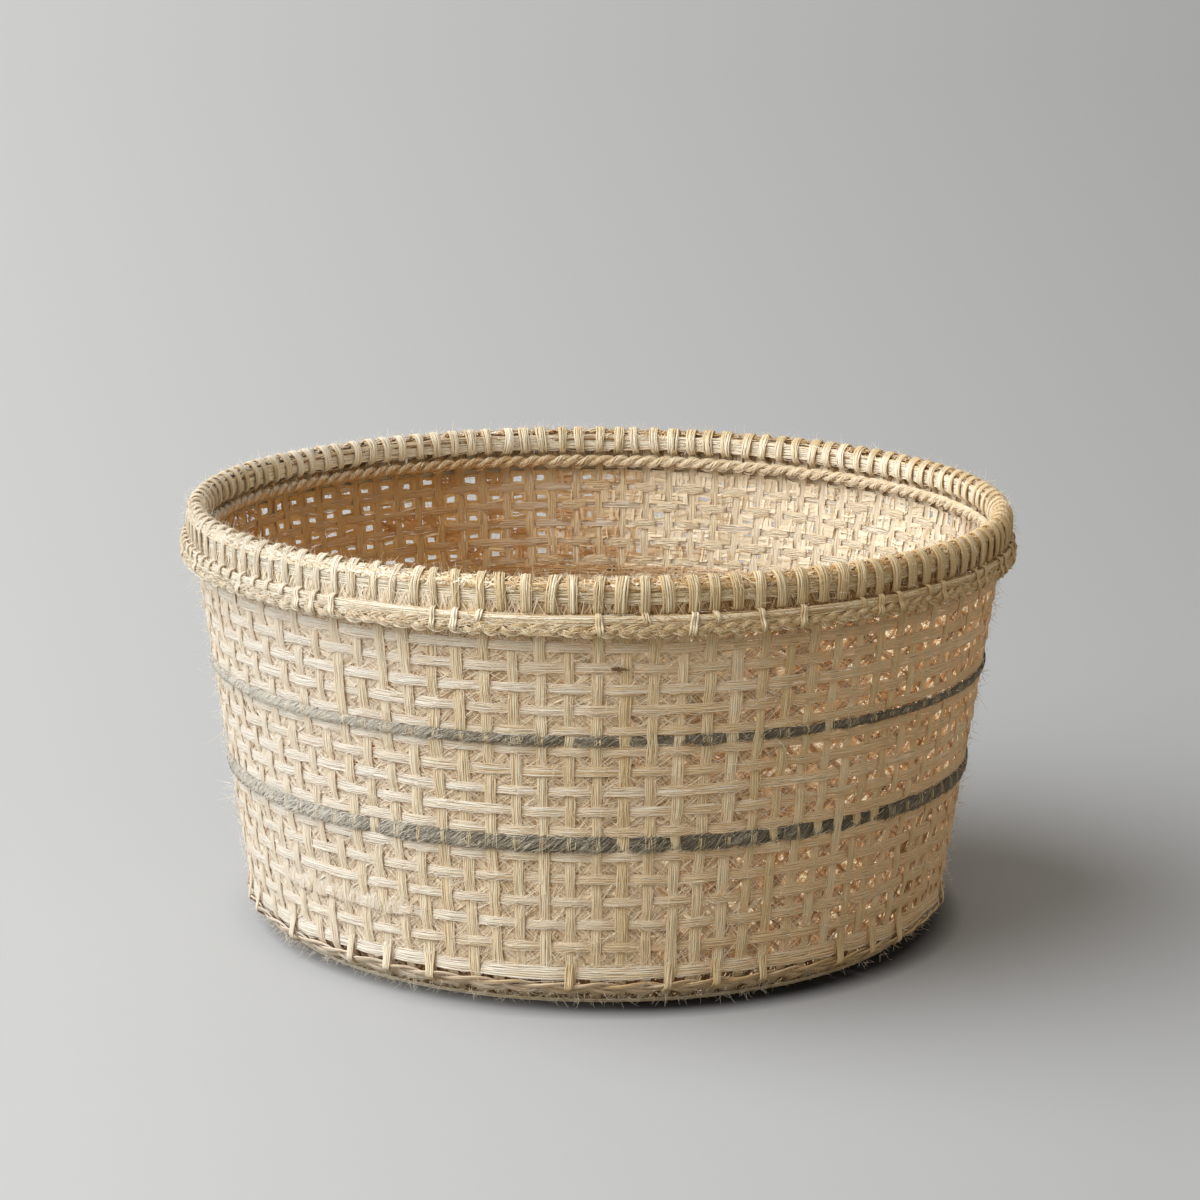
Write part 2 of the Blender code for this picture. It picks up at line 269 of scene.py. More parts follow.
def add_bundle(strands, source, path, out_hint, width, depth, fibres, tone, spread=0.2,
               loose=0.25, knots=12, closed=False, tilt=None, sides=4):
    """Flat strands made of fibres that lie side by side and wander a little."""
    count, steps = path.shape[:2]
    across, out = path_frame(path, out_hint, closed, tilt)
    width = np.broadcast_to(width, (count, steps))[:, None]
    depth = np.broadcast_to(depth, (count, steps))[:, None]
    place = ((np.arange(fibres) + 0.5) / fibres - 0.5)[:, None]
    crown = 1 - 0.45 * (2 * place) ** 2
    shape = (count, fibres, steps)
    sideways = smooth_noise(source, count * fibres, steps, knots, closed).reshape(shape)
    raised = smooth_noise(source, count * fibres, steps, knots, closed).reshape(shape)
    thick = 1 + 0.18 * smooth_noise(source, count * fibres, steps, knots, closed).reshape(shape)
    moved = width * place + width / fibres * loose * sideways
    lift = depth * (0.1 * raised - 0.22 * (1 - crown))
    centre = path[:, None] + across[:, None] * moved[..., None] + out[:, None] * lift[..., None]
    tones = np.clip(np.asarray(tone)[:, None] + source.uniform(-spread, spread, (count, fibres)), 0, 1)
    # Outermost fibres get fully dark sides and inner ones less: gold-brown edges, partly painted shade between
    # strands.
    edges = np.where(np.abs(place[:, 0]) > 0.5 - 1 / fibres, 1.0, 0.7)
    flat = (count * fibres, steps)
    strands.add(
        centre.reshape(*flat, 3),
        np.broadcast_to(across[:, None], centre.shape).reshape(*flat, 3),
        np.broadcast_to(out[:, None], centre.shape).reshape(*flat, 3),
        (width / fibres * 0.6 * thick).reshape(flat),
        (depth * 0.5 * crown * thick).reshape(flat),
        tones.ravel(), sides, closed, np.tile(edges, count))


def add_twist(strands, source, path, out_hint, half_width, half_depth, pitch, fibres, fibre_radius,
              tone, spread=0.2, phase=0.0, sides=4):
    """A closed round or oval yarn: fibres laid in a helix about each path."""
    count, steps = path.shape[:2]
    across, out = path_frame(path, out_hint, True)
    length = np.linalg.norm(np.roll(path, -1, axis=1) - path, axis=-1)
    turns = np.round(length.sum(axis=1) / pitch)
    share = np.concatenate([np.zeros((count, 1)), np.cumsum(length, axis=1)[:, :-1]], axis=1)
    share = share / length.sum(axis=1, keepdims=True)
    start = TURN * (np.arange(fibres) / fibres)[None, :, None] + phase
    wander = smooth_noise(source, count * fibres, steps, steps // 8, True).reshape(count, fibres, steps)
    angle = start - TURN * (turns[:, None] * share)[:, None] + 0.35 * wander
    swell = 1 + 0.12 * smooth_noise(source, count * fibres, steps, steps // 5, True).reshape(angle.shape)
    sideways = np.cos(angle) * half_width * swell
    outwards = np.sin(angle) * half_depth * swell
    centre = (path[:, None] + across[:, None] * sideways[..., None]
              + out[:, None] * outwards[..., None])
    tones = np.clip(tone + source.uniform(-spread, spread, (count, fibres)), 0, 1)
    flat = (count * fibres, steps)
    strands.add(
        centre.reshape(*flat, 3),
        np.broadcast_to(across[:, None], centre.shape).reshape(*flat, 3),
        np.broadcast_to(out[:, None], centre.shape).reshape(*flat, 3),
        fibre_radius, fibre_radius, tones.ravel(), sides, True)


def add_strays(strands, source, path, out_hint, width, depth, count, thick, tone, knots, closed=False):
    """Thin ribbons that wander along each strand and a little past its edges."""
    lines, steps = path.shape[:2]
    across, out = path_frame(path, out_hint, closed)
    shape = (lines, count, steps)
    sideways = smooth_noise(source, lines * count, steps, knots, closed).reshape(shape)
    raised = smooth_noise(source, lines * count, steps, knots, closed).reshape(shape)
    width = np.broadcast_to(width, (lines, steps))[:, None]
    moved = 0.66 * width * np.sign(sideways) * np.abs(sideways) ** 0.7
    lift = depth * (0.62 + 0.3 * raised)
    centre = path[:, None] + across[:, None] * moved[..., None] + out[:, None] * lift[..., None]
    flat = (lines * count, steps)
    strands.add(
        centre.reshape(*flat, 3),
        np.broadcast_to(across[:, None], centre.shape).reshape(*flat, 3),
        np.broadcast_to(out[:, None], centre.shape).reshape(*flat, 3),
        thick, 0.0, np.clip(tone + source.uniform(-0.35, 0.35, lines * count), 0, 1), 2, closed, 0.2)


# Name, direction round from the left end, elevation, strength and spread of the lamps
LAMPS = (("key", 10.0, 42.0, 5.2, 72.0), ("front_key", 38.0, 38.0, 0.5, 70.0))


def lamp_direction(azimuth, elevation):
    azimuth, elevation = math.radians(azimuth), math.radians(elevation)
    flat = math.cos(elevation)
    return Vector((-flat * math.cos(azimuth), -flat * math.sin(azimuth), math.sin(elevation)))


# Materials

def link_noise(tree, vector, scale, detail, roughness=0.6):
    noise = tree.nodes.new("ShaderNodeTexNoise")
    noise.inputs["Scale"].default_value = scale
    noise.inputs["Detail"].default_value = detail
    noise.inputs["Roughness"].default_value = roughness
    tree.links.new(vector, noise.inputs["Vector"])
    return noise.outputs["Fac"]


def math_node(tree, operation, first, second):
    node = tree.nodes.new("ShaderNodeMath")
    node.operation = operation
    for socket, value in zip(node.inputs, (first, second)):
        if isinstance(value, (int, float)):
            socket.default_value = value
        else:
            tree.links.new(value, socket)
    return node.outputs[0]


def ranged(tree, value, low, high, start, end):
    node = tree.nodes.new("ShaderNodeMapRange")
    for name, number in (("From Min", low), ("From Max", high), ("To Min", start), ("To Max", end)):
        node.inputs[name].default_value = number
    tree.links.new(value, node.inputs["Value"])
    return node.outputs["Result"]


def facing_inwards(tree, place):
    """0 on faces that look out of the basket and 1 on faces that look in."""
    facing = tree.nodes.new("ShaderNodeVectorMath")
    facing.operation = "DOT_PRODUCT"
    radial = tree.nodes.new("ShaderNodeVectorMath")
    radial.operation = "NORMALIZE"
    tree.links.new(place.outputs["Position"], radial.inputs[0])
    tree.links.new(radial.outputs[0], facing.inputs[0])
    tree.links.new(place.outputs["True Normal"], facing.inputs[1])
    return ranged(tree, facing.outputs["Value"], 0.1, -0.5, 0.0, 1.0)


def facing_key(tree, place):
    """0 up to about 45 degrees off the key lamp and 1 on faces square to it."""
    facing = tree.nodes.new("ShaderNodeVectorMath")
    facing.operation = "DOT_PRODUCT"
    facing.inputs[0].default_value = lamp_direction(*LAMPS[0][1:3])
    tree.links.new(place.outputs["Normal"], facing.inputs[1])
    return ranged(tree, facing.outputs["Value"], 0.7, 1.0, 0.0, 1.0)


def mixed_colour(tree, share, first, second):
    """A colour between two, each a plain one or a socket."""
    node = tree.nodes.new("ShaderNodeMix")
    node.data_type = "RGBA"
    tree.links.new(share, node.inputs["Factor"])
    for name, colour in (("A", first), ("B", second)):
        if isinstance(colour, tuple):
            node.inputs[name].default_value = (*colour, 1)
        else:
            tree.links.new(colour, node.inputs[name])
    return node.outputs["Result"]


def fibre_material(name, ramp, edge_colour, glow_colour, glow, streak=0.75, edge=0.6,
                   roughness=0.62, sheen=0.0, inside=False, painted_right_shade=0.0, even=0.6):
    """Plant fibre: its tone and streaks follow each fibre, its edges are darker, and light
    that passes through it turns warm. golden is how much darker its tone is painted on the right,
    as painted shade away from the key. Outer faces on the lit left pass more light and are painted
    paler, inner faces on the right that face the key are painted an even middle tone, and faces
    square to the key are painted darker, all painted light that evens the shading. With inside,
    inner faces on the left are painted brown as painted shade. The darker edges are partly the
    fibres' own gold-brown edges and partly painted shade between fibres."""
    material = bpy.data.materials.new(name)
    material.use_nodes = True
    tree = material.node_tree
    shader = tree.nodes["Principled BSDF"]
    shader.inputs["Roughness"].default_value = roughness
    shader.inputs["Specular IOR Level"].default_value = 0.3
    shader.inputs["Sheen Weight"].default_value = sheen
    grain = tree.nodes.new("ShaderNodeAttribute")
    grain.attribute_name = "grain"
    parts = tree.nodes.new("ShaderNodeSeparateXYZ")
    tree.links.new(grain.outputs["Vector"], parts.inputs[0])
    along, side, tone = parts.outputs
    lines = tree.nodes.new("ShaderNodeCombineXYZ")
    tree.links.new(math_node(tree, "MULTIPLY", along, 120.0), lines.inputs[0])
    tree.links.new(math_node(tree, "MULTIPLY", side, 2.5), lines.inputs[1])
    tree.links.new(math_node(tree, "MULTIPLY", tone, 173.0), lines.inputs[2])
    streaks = link_noise(tree, lines.outputs[0], 1.0, 4.0)
    place = tree.nodes.new("ShaderNodeNewGeometry")
    patches = link_noise(tree, place.outputs["Position"], 55.0, 3.0)
    value = math_node(tree, "ADD", tone, math_node(
        tree, "MULTIPLY", math_node(tree, "SUBTRACT", streaks, 0.5), streak * 2))
    value = math_node(tree, "ADD", value, math_node(
        tree, "MULTIPLY", math_node(tree, "SUBTRACT", patches, 0.5), 0.5))
    sideways = tree.nodes.new("ShaderNodeSeparateXYZ")
    tree.links.new(place.outputs["Position"], sideways.inputs[0])
    sideways = sideways.outputs["X"]
    inward = facing_inwards(tree, place)
    outer = math_node(tree, "SUBTRACT", 1.0, inward)
    # Outer faces are painted darker toward the right, the side away from the key: painted shade.
    value = math_node(tree, "SUBTRACT", value, math_node(
        tree, "MULTIPLY", outer, ranged(tree, sideways, -80 * MM, 80 * MM, 0.0, painted_right_shade)))
    lit = math_node(tree, "MULTIPLY", outer, ranged(tree, sideways, -40 * MM, -115 * MM, 0.0, 1.0))
    colours = tree.nodes.new("ShaderNodeValToRGB")
    while len(colours.color_ramp.elements) < len(ramp):
        colours.color_ramp.elements.new(0.5)
    for element, (position, colour) in zip(colours.color_ramp.elements, ramp):
        element.position = position
        element.color = (*colour, 1)
    tree.links.new(value, colours.inputs[0])
    # Outer faces on the lit left are mixed toward a pale colour: painted light that evens their shading.
    base = mixed_colour(tree, math_node(tree, "MULTIPLY", lit, even), colours.outputs[0], LIT_LEFT_PALE)
    # Inner faces on the right, which face the key, are mixed toward an even middle tone: painted light that tames
    # their highlights.
    facing_left = math_node(tree, "MULTIPLY", inward, ranged(tree, sideways, 0.0, 70 * MM, 0.0, even))
    base = mixed_colour(tree, facing_left, base, LIT_INNER_PALE)
    # Faces square to the key lamp are darkened by up to a quarter: painted shade that dims their highlights.
    key_facing_darkening = math_node(tree, "MULTIPLY", facing_key(tree, place), 0.24)
    base = mixed_colour(tree, key_facing_darkening, base, (0.0, 0.0, 0.0))
    # Fibre sides are darkened toward the edge colour: gold-brown fibre edges and partly painted shade between fibres;
    # on the lit left the edges are painted paler.
    rim = math_node(tree, "POWER", math_node(tree, "ABSOLUTE", side, 0.0), 3.0)
    rim = math_node(tree, "MULTIPLY", rim, math_node(tree, "SUBTRACT", 1.0, math_node(tree, "MULTIPLY", lit, even)))
    colour = mixed_colour(tree, math_node(tree, "MULTIPLY", rim, edge), base, edge_colour)
    # Inner faces on the left, away from the key, are painted brown: painted shade.
    if inside:
        left = ranged(tree, sideways, 30 * MM, -60 * MM, 0.0, 0.85)
        colour = mixed_colour(tree, math_node(tree, "MULTIPLY", inward, left), colour, INNER_SHADE_BROWN)
    tree.links.new(colour, shader.inputs["Base Color"])
    bump = tree.nodes.new("ShaderNodeBump")
    bump.inputs["Strength"].default_value = 0.35
    bump.inputs["Distance"].default_value = 0.15 * MM
    tree.links.new(streaks, bump.inputs["Height"])
    tree.links.new(bump.outputs[0], shader.inputs["Normal"])
    through = tree.nodes.new("ShaderNodeBsdfTranslucent")
    passed = tree.nodes.new("ShaderNodeMix")
    passed.data_type = "RGBA"
    passed.blend_type = "MULTIPLY"
    passed.inputs["Factor"].default_value = 1.0
    tree.links.new(colour, passed.inputs["A"])
    tree.links.new(mixed_colour(tree, lit, glow_colour, PALE_LIGHT), passed.inputs["B"])
    tree.links.new(passed.outputs["Result"], through.inputs["Color"])
    mixed = tree.nodes.new("ShaderNodeMixShader")
    tree.links.new(math_node(tree, "ADD", glow, math_node(tree, "MULTIPLY", lit, max(0.37 - glow, 0))),
                   mixed.inputs["Fac"])
    tree.links.new(shader.outputs[0], mixed.inputs[1])
    tree.links.new(through.outputs[0], mixed.inputs[2])
    tree.links.new(mixed.outputs[0], tree.nodes["Material Output"].inputs["Surface"])
    return material


# Edge colour: gold-brown fibre edges, partly painted shade between fibres.
EDGE_GOLD_AND_SHADE = (0.60, 0.40, 0.17)
# Brown for inner faces on the left: painted shade.
INNER_SHADE_BROWN = (0.61, 0.335, 0.10)
WARM_LIGHT = (1.0, 0.61, 0.31)
SOFT_LIGHT = (1.0, 0.74, 0.48)
PALE_LIGHT = (1.0, 0.96, 0.90)
# Pale colour mixed into outer faces on the lit left: painted light.
LIT_LEFT_PALE = (0.97, 0.95, 0.875)
# Even middle tone for inner faces on the right that face the key: painted light.
LIT_INNER_PALE = (0.83, 0.735, 0.565)
WEAVER_FIBRE = fibre_material(
    "weaver_fibre", [(0.0, (0.80, 0.635, 0.385)), (0.45, (0.965, 0.94, 0.80)), (1.0, (0.985, 0.975, 0.91))],
    EDGE_GOLD_AND_SHADE, WARM_LIGHT, 0.28, inside=True, painted_right_shade=0.62)
STAKE_FIBRE = fibre_material(
    "stake_fibre", [(0.0, (0.78, 0.62, 0.34)), (0.45, (0.93, 0.84, 0.60)), (1.0, (0.97, 0.93, 0.77))],
    EDGE_GOLD_AND_SHADE, WARM_LIGHT, 0.28, inside=True, painted_right_shade=0.28)
RIM_FIBRE = fibre_material(
    "rim_fibre", [(0.0, (0.64, 0.50, 0.29)), (0.45, (0.93, 0.86, 0.66)), (1.0, (0.985, 0.96, 0.86))],
    EDGE_GOLD_AND_SHADE, WARM_LIGHT, 0.18, edge=0.95, painted_right_shade=0.62, even=0.5)
FILLER_FIBRE = fibre_material(
    "filler_fibre", [(0.0, (0.50, 0.32, 0.14)), (0.5, (0.84, 0.71, 0.47)), (1.0, (0.97, 0.93, 0.80))],
    EDGE_GOLD_AND_SHADE, WARM_LIGHT, 0.2, painted_right_shade=0.5, even=0.3)
# Very dark fibre for the rim's core and the bark fleck; the shade lining uses it as painted shade.
CORE_FIBRE = fibre_material(
    "core_fibre", [(0.0, (0.14, 0.08, 0.035)), (0.5, (0.32, 0.19, 0.09)), (1.0, (0.52, 0.36, 0.18))],
    (0.2, 0.11, 0.05), WARM_LIGHT, 0.1, even=0.15)
# Lining in two copies, painted light and shade: this darker, warmer one for openings in shade and the pale one below
# for openings that the key lights.
LINING_FIBRE = fibre_material(
    "lining_fibre", [(0.0, (0.36, 0.21, 0.08)), (0.5, (0.80, 0.65, 0.40)), (1.0, (0.96, 0.90, 0.72))],
    EDGE_GOLD_AND_SHADE, WARM_LIGHT, 0.4, inside=True)
LIT_SIDE_LINING_FIBRE = fibre_material(
    "lit_side_lining_fibre", [(0.0, (0.45, 0.30, 0.15)), (0.5, (0.82, 0.69, 0.48)), (1.0, (0.97, 0.92, 0.77))],
    EDGE_GOLD_AND_SHADE, SOFT_LIGHT, 0.15, inside=True)
YARN_FIBRE = fibre_material(
    "grey_yarn_fibre", [(0.0, (0.11, 0.092, 0.064)), (0.5, (0.37, 0.325, 0.25)), (1.0, (0.70, 0.65, 0.55))],
    (0.16, 0.13, 0.09), (0.8, 0.65, 0.5), 0.1, roughness=0.85, sheen=0.15, painted_right_shade=0.47, even=0.42)
HAIR_FIBRE = fibre_material(
    "loose_fibre", [(0.0, (0.86, 0.74, 0.52)), (0.5, (0.96, 0.91, 0.77)), (1.0, (0.99, 0.975, 0.91))],
    (0.7, 0.55, 0.35), (1.0, 0.82, 0.6), 0.3, edge=0.1, painted_right_shade=0.3, even=0.6)


# The weave

# Stations, counted back from the right end, whose stakes pass over the grey bands
COVERING = {"grey_band_wide": (-23, -21, -17, -15, -14, -13, -12),
            "grey_band_narrow": (-25, -23, -22, -21, -19, -18, -15)}


def weave_sides():
    """For each row and stake, 1 where the row passes outside the stake and -1 inside."""
    source = np.random.default_rng(11)
    order = np.arange(len(ROWS))[:, None]
    station = np.arange(STAKE_COUNT)[None]
    sides = np.where((order + station) % 2 == 0, 1, -1)
    stray = source.uniform(0, 1, sides.shape) < 0.03
    sides = np.where(stray, -sides, sides)
    long_floats = (station > STAKE_COUNT - 17) & (source.uniform(0, 1, sides.shape) < 0.35)
    sides = np.where(long_floats, 1, sides)
    for row, name in enumerate(ROWS):
        if name in COVERING:
            kept = (source.uniform(0, 1, STAKE_COUNT) < 0.94) | (station[0] > STAKE_COUNT - 32)
            sides[row] = np.where(kept, 1, sides[row])
            sides[row, list(COVERING[name])] = -1
    return sides


SIDES = weave_sides()
RING_SAMPLES = 6


def ring_angles(samples):
    return np.arange(STAKE_COUNT * samples) * TURN / (STAKE_COUNT * samples)


def ring_swing(row, samples, amount):
    """How far a row stands out from the wall's middle at each step round the ring."""
    share = ease((np.arange(samples) / samples - 0.16) / 0.68)
    here = SIDES[row][:, None]
    following = np.roll(SIDES[row], -1)[:, None]
    return (here * (1 - share) + following * share).ravel() * amount


def ring_path(row, samples, amount, source):
    angle = ring_angles(samples)
    dip = smooth_noise(source, 1, len(angle), STAKE_COUNT // 3, True)[0] * 0.28 * MM
    level = LEVELS[row] + dip
    radius = wall_radius(level) + ring_swing(row, samples, amount)
    return polar(radius, angle, level)[None], outward(angle)[None]


def row_height(row):
    """How tall a row is drawn. The plain ones beside the narrow band are slimmer."""
    name = ROWS[row]
    if name.startswith("grey_band"):
        return node_height(name)
    beside = abs(LEVELS[row] - node_level("grey_band_narrow")) < 5 * MM
    return node_height(name) * (0.95 if beside else 1.14)


def make_weavers():
    source = np.random.default_rng(21)
    for row, name in enumerate(ROWS):
        if name.startswith("grey_band"):
            continue
        path, out = ring_path(row, RING_SAMPLES, WEAVER_SWING, source)
        steps = path.shape[1]
        degrees = np.degrees(ring_angles(RING_SAMPLES))
        right = ease((degrees - 280) / 30) * ease((400 - degrees) / 30) + ease((40 - degrees) / 30)
        height = row_height(row) * (1 + 0.1 * smooth_noise(source, 1, steps, 40, True) + 0.16 * right)
        tilt = 0.12 * smooth_noise(source, 1, steps, 48, True)
        strands = Strands()
        fibres = 7 if name == "weaver_01" else FIBRES
        add_bundle(strands, source, path, out, height, WEAVER_DEPTH, fibres,
                   [source.uniform(0.4, 0.7)], knots=120, closed=True, tilt=tilt)
        add_strays(strands, source, path, out, height, WEAVER_DEPTH, 5, 0.07 * MM, 0.7, 140, True)
        strands.build(name.replace("weaver", "weaver_strand"), WEAVER_FIBRE, "weaver_straw", [name])


def make_bands():
    """Two grey yarns of fine slanting fibres, with loose ones and hints of the stakes over them."""
    source = np.random.default_rng(22)
    hints = Strands()
    for row, name in enumerate(ROWS):
        if name not in COVERING:
            continue
        path, out = ring_path(row, 8, 0.65 * MM, source)
        ring = ring_angles(8)
        ring_degrees = np.degrees(ring) - 360 * (ring > math.pi)
        right = ease((ring_degrees + 75) / 35) * ease((60 - ring_degrees) / 30)
        height = node_height(name) / 2 * (1.0 if name == "grey_band_wide" else 1.0 - 0.2 * right)
        height = height * (1 + 0.1 * smooth_noise(source, 1, len(ring), 120, True)[0])
        inner, outer = Strands(), Strands()
        for strands, share, fibres, radius, tone in ((inner, 0.55, 10, 0.34, 0.2), (outer, 0.96, 30, 0.19, 0.4)):
            add_twist(strands, source, path, out, (height - radius * MM) * share, 0.6 * MM * share,
                      node_height(name) * 2.5, fibres, radius * MM, tone, spread=0.5)
        count = 7500
        share = np.linspace(-0.5, 0.5, 4)
        start = source.uniform(0, TURN, (count, 1))
        half = np.interp(start, ring, height, period=TURN)
        # Loose band fibres are painted paler toward the front left, where the key lights the bands: painted light.
        lit_paleness = ease((-(np.degrees(start) - 360) - 105) / 50) * (start > math.pi)
        run = source.uniform(1.5, 4.8, (count, 1)) * MM
        slant = source.normal(0.85, 0.3, (count, 1))
        rise = (source.uniform(-0.9, 0.9, (count, 1)) + slant * share * run / half * 0.8) * half
        rise = np.clip(rise, -1.2 * half, 1.2 * half)
        swing = np.interp(start, ring, np.linalg.norm(path[0, :, :2], axis=-1), period=TURN)
        front = source.choice([1, 1, 1, -1], (count, 1))
        radius = swing + front * (0.4 * MM + 0.45 * MM * np.sqrt(np.maximum(1 - (rise / half) ** 2, 0)))
        loose = polar(radius, start + share * run / swing, LEVELS[row] + rise)
        across, away = path_frame(loose, outward(start[:, 0])[:, None])
        inner.add(loose, across, away, source.uniform(0.05, 0.13, (count, 1)) * MM, 0.0,
                  np.clip(source.normal(0.45, 0.3, count) + 0.35 * lit_paleness[:, 0], 0, 1), 2, rim=0.2)
        outer.build(name + "_yarn", YARN_FIBRE, "grey_yarn", [name])
        inner.build(name + "_core_and_fibres", YARN_FIBRE, "grey_yarn")
        station = np.repeat(np.flatnonzero(SIDES[row] > 0), 7)
        angle = station * TURN / STAKE_COUNT + source.normal(0, 1.0, len(station)) * MM / RIM_RADIUS
        angle = angle[:, None] + source.normal(0, 0.4, (len(angle), 1)) * MM / RIM_RADIUS * share
        half = np.interp(angle, ring, height, period=TURN)
        radius = wall_radius(LEVELS[row]) + 0.65 * MM + 0.95 * MM * np.sqrt(np.maximum(1.05 - 4 * share ** 2, 0.05))
        upright = polar(radius, angle, LEVELS[row] + 2.3 * half * share)
        across, away = path_frame(upright, outward(angle))
        hints.add(upright, across, away, source.uniform(0.04, 0.09, (len(angle), 1)) * MM, 0.0,
                  source.uniform(0.0, 0.7, len(angle)), 2, rim=0.2)
    hints.build("band_hairs", STAKE_FIBRE)


def stake_levels():
    """Levels up the straight wall: several steps between neighbouring rows."""
    levels = [np.array([FOOT_BEND])]
    for low, high in zip(LEVELS, LEVELS[1:]):
        levels.append(low + (high - low) * np.arange(6) / 6)
    levels.append(np.array([LEVELS[-1], (LEVELS[-1] + BRAID_BOTTOM) / 2, BRAID_BOTTOM]))
    return np.concatenate(levels)


def stake_swing(level, station):
    """How far each stake stands out from the wall's middle: against the rows it crosses."""
    row = np.clip(np.searchsorted(LEVELS, level, side="right") - 1, 0, len(LEVELS) - 2)
    gap = LEVELS[row + 1] - LEVELS[row]
    share = ease(((level - LEVELS[row]) / gap - 0.2) / 0.6)
    here = -SIDES[row][:, station].T
    following = -SIDES[row + 1][:, station].T
    swing = here * (1 - share) + following * share
    fade = ease((level - 2 * MM) / (LEVELS[0] - 2 * MM)) * ease((BRAID_BOTTOM - level) / (5 * MM))
    return swing * fade * STAKE_SWING


def make_stakes():
    source = np.random.default_rng(31)
    foot = np.array([
        (RING_RADIUS, RING_LEVEL), FOOT_BULGE, (FOOT_RADIUS, FOOT_BEND)])
    share = np.linspace(0, 1, 9)[:-1, None]
    foot = foot[0] * (1 - share) ** 2 + 2 * foot[1] * share * (1 - share) + foot[2] * share ** 2
    wall = stake_levels()
    rim = np.linspace(BRAID_BOTTOM, STAKE_TOP, 6)[1:]
    level = np.concatenate([foot[:, 1], wall, rim])
    radius = np.concatenate([foot[:, 0], wall_radius(wall), np.full(len(rim), RIM_RADIUS)])
    slope = unit(np.stack([np.gradient(radius), np.gradient(level)], axis=-1))
    per_group = STAKE_COUNT // STAKE_GROUPS
    for group in range(STAKE_GROUPS):
        station = np.arange(group * per_group, (group + 1) * per_group)
        swing = stake_swing(level, station)
        wander = smooth_noise(source, per_group, len(level), 14) * 0.35 * MM
        angle = station[:, None] * TURN / STAKE_COUNT + wander / RIM_RADIUS
        path = polar(radius + swing * slope[:, 1], angle, level - swing * slope[:, 0])
        out = outward(angle) * slope[:, 1, None] + np.array([0, 0, -1]) * slope[:, 0, None]
        width = STAKE_WIDTH * (source.uniform(0.86, 1.12, (per_group, 1))
                               + 0.1 * smooth_noise(source, per_group, len(level), 16))
        tilt = 0.1 * smooth_noise(source, per_group, len(level), 14)
        strands = Strands()
        add_bundle(strands, source, path, out, width, STAKE_DEPTH, FIBRES,
                   source.uniform(0.35, 0.65, per_group), spread=0.25, knots=22, tilt=tilt)
        add_strays(strands, source, path, out, width, STAKE_DEPTH, 3, 0.07 * MM, 0.7, 24)
        start, end = station[0] - 0.5, station[-1] + 0.5
        add_foot_ring(strands, source, start * TURN / STAKE_COUNT, end * TURN / STAKE_COUNT)
        strands.build(f"stake_strands_{group + 1}", STAKE_FIBRE, "stake_straw",
                      [f"side_stakes_{group + 1}"])


def add_foot_ring(strands, source, start, end):
    """An arc of the round bundle that the stakes stand on."""
    angle = np.linspace(start, end, 40)[None]
    middle = polar(116.7 * MM, angle, 1.25 * MM)
    for turn in range(7):
        about = TURN * turn / 7
        path = middle + outward(angle) * 0.78 * MM * math.cos(about)
        path[..., 2] += 0.78 * MM * math.sin(about) + 0.05 * MM * smooth_noise(source, 1, 40, 10)
        across, out = path_frame(path, outward(angle))
        strands.add(path, across, out, 0.42 * MM, 0.42 * MM, source.uniform(0.2, 0.7, 1))


def add_plait(strands, source, radius, level, lean, amplitude, depth, width, thick, periods, tone):
    """Three flat strands plaited round the basket. lean tips the plait's face downwards."""
    steps = periods * 24
    angle = np.arange(steps) * TURN / steps
    out = (outward(angle) * math.cos(lean) - np.array([0, 0, math.sin(lean)]))[None]
    for strand in range(3):
        phase = (angle * periods + TURN * strand / 3
                 + 0.3 * smooth_noise(source, 1, steps, periods, True)[0])
        rise = amplitude * np.sin(phase) + 0.12 * MM * smooth_noise(source, 1, steps, periods * 2, True)[0]
        stand = depth * np.sin(2 * phase)
        path = polar(radius + rise * math.sin(lean) + stand * math.cos(lean), angle,
                     level + rise * math.cos(lean) - stand * math.sin(lean))[None]
        swell = 1 + 0.12 * smooth_noise(source, 1, steps, periods * 2, True) + 0.3 * np.sin(2 * phase)
        add_bundle(strands, source, path, out, width * swell, thick, 5, [tone], spread=0.3,
                   loose=0.35, knots=periods * 5, closed=True)
        add_strays(strands, source, path, out, width * swell, thick, 5, 0.07 * MM, 0.75, periods * 6, True)


def make_foot_border():
    """A plait of three pale strands over the stakes' foot bend, with a dark recess above it."""
    source = np.random.default_rng(41)
    low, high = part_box("foot_braid")
    lean = math.atan2(FOOT_RADIUS - RING_RADIUS, FOOT_BEND - RING_LEVEL)
    strands = Strands()
    add_plait(strands, source, high.x - 1.7 * MM, (low.z + high.z) / 2 + 1.9 * MM, lean, 2.4 * MM, 0.6 * MM,
              1.8 * MM, 0.7 * MM, 19, 0.5)
    strands.build("foot_border_strands", WEAVER_FIBRE, "rim_straw", ["foot_braid"])


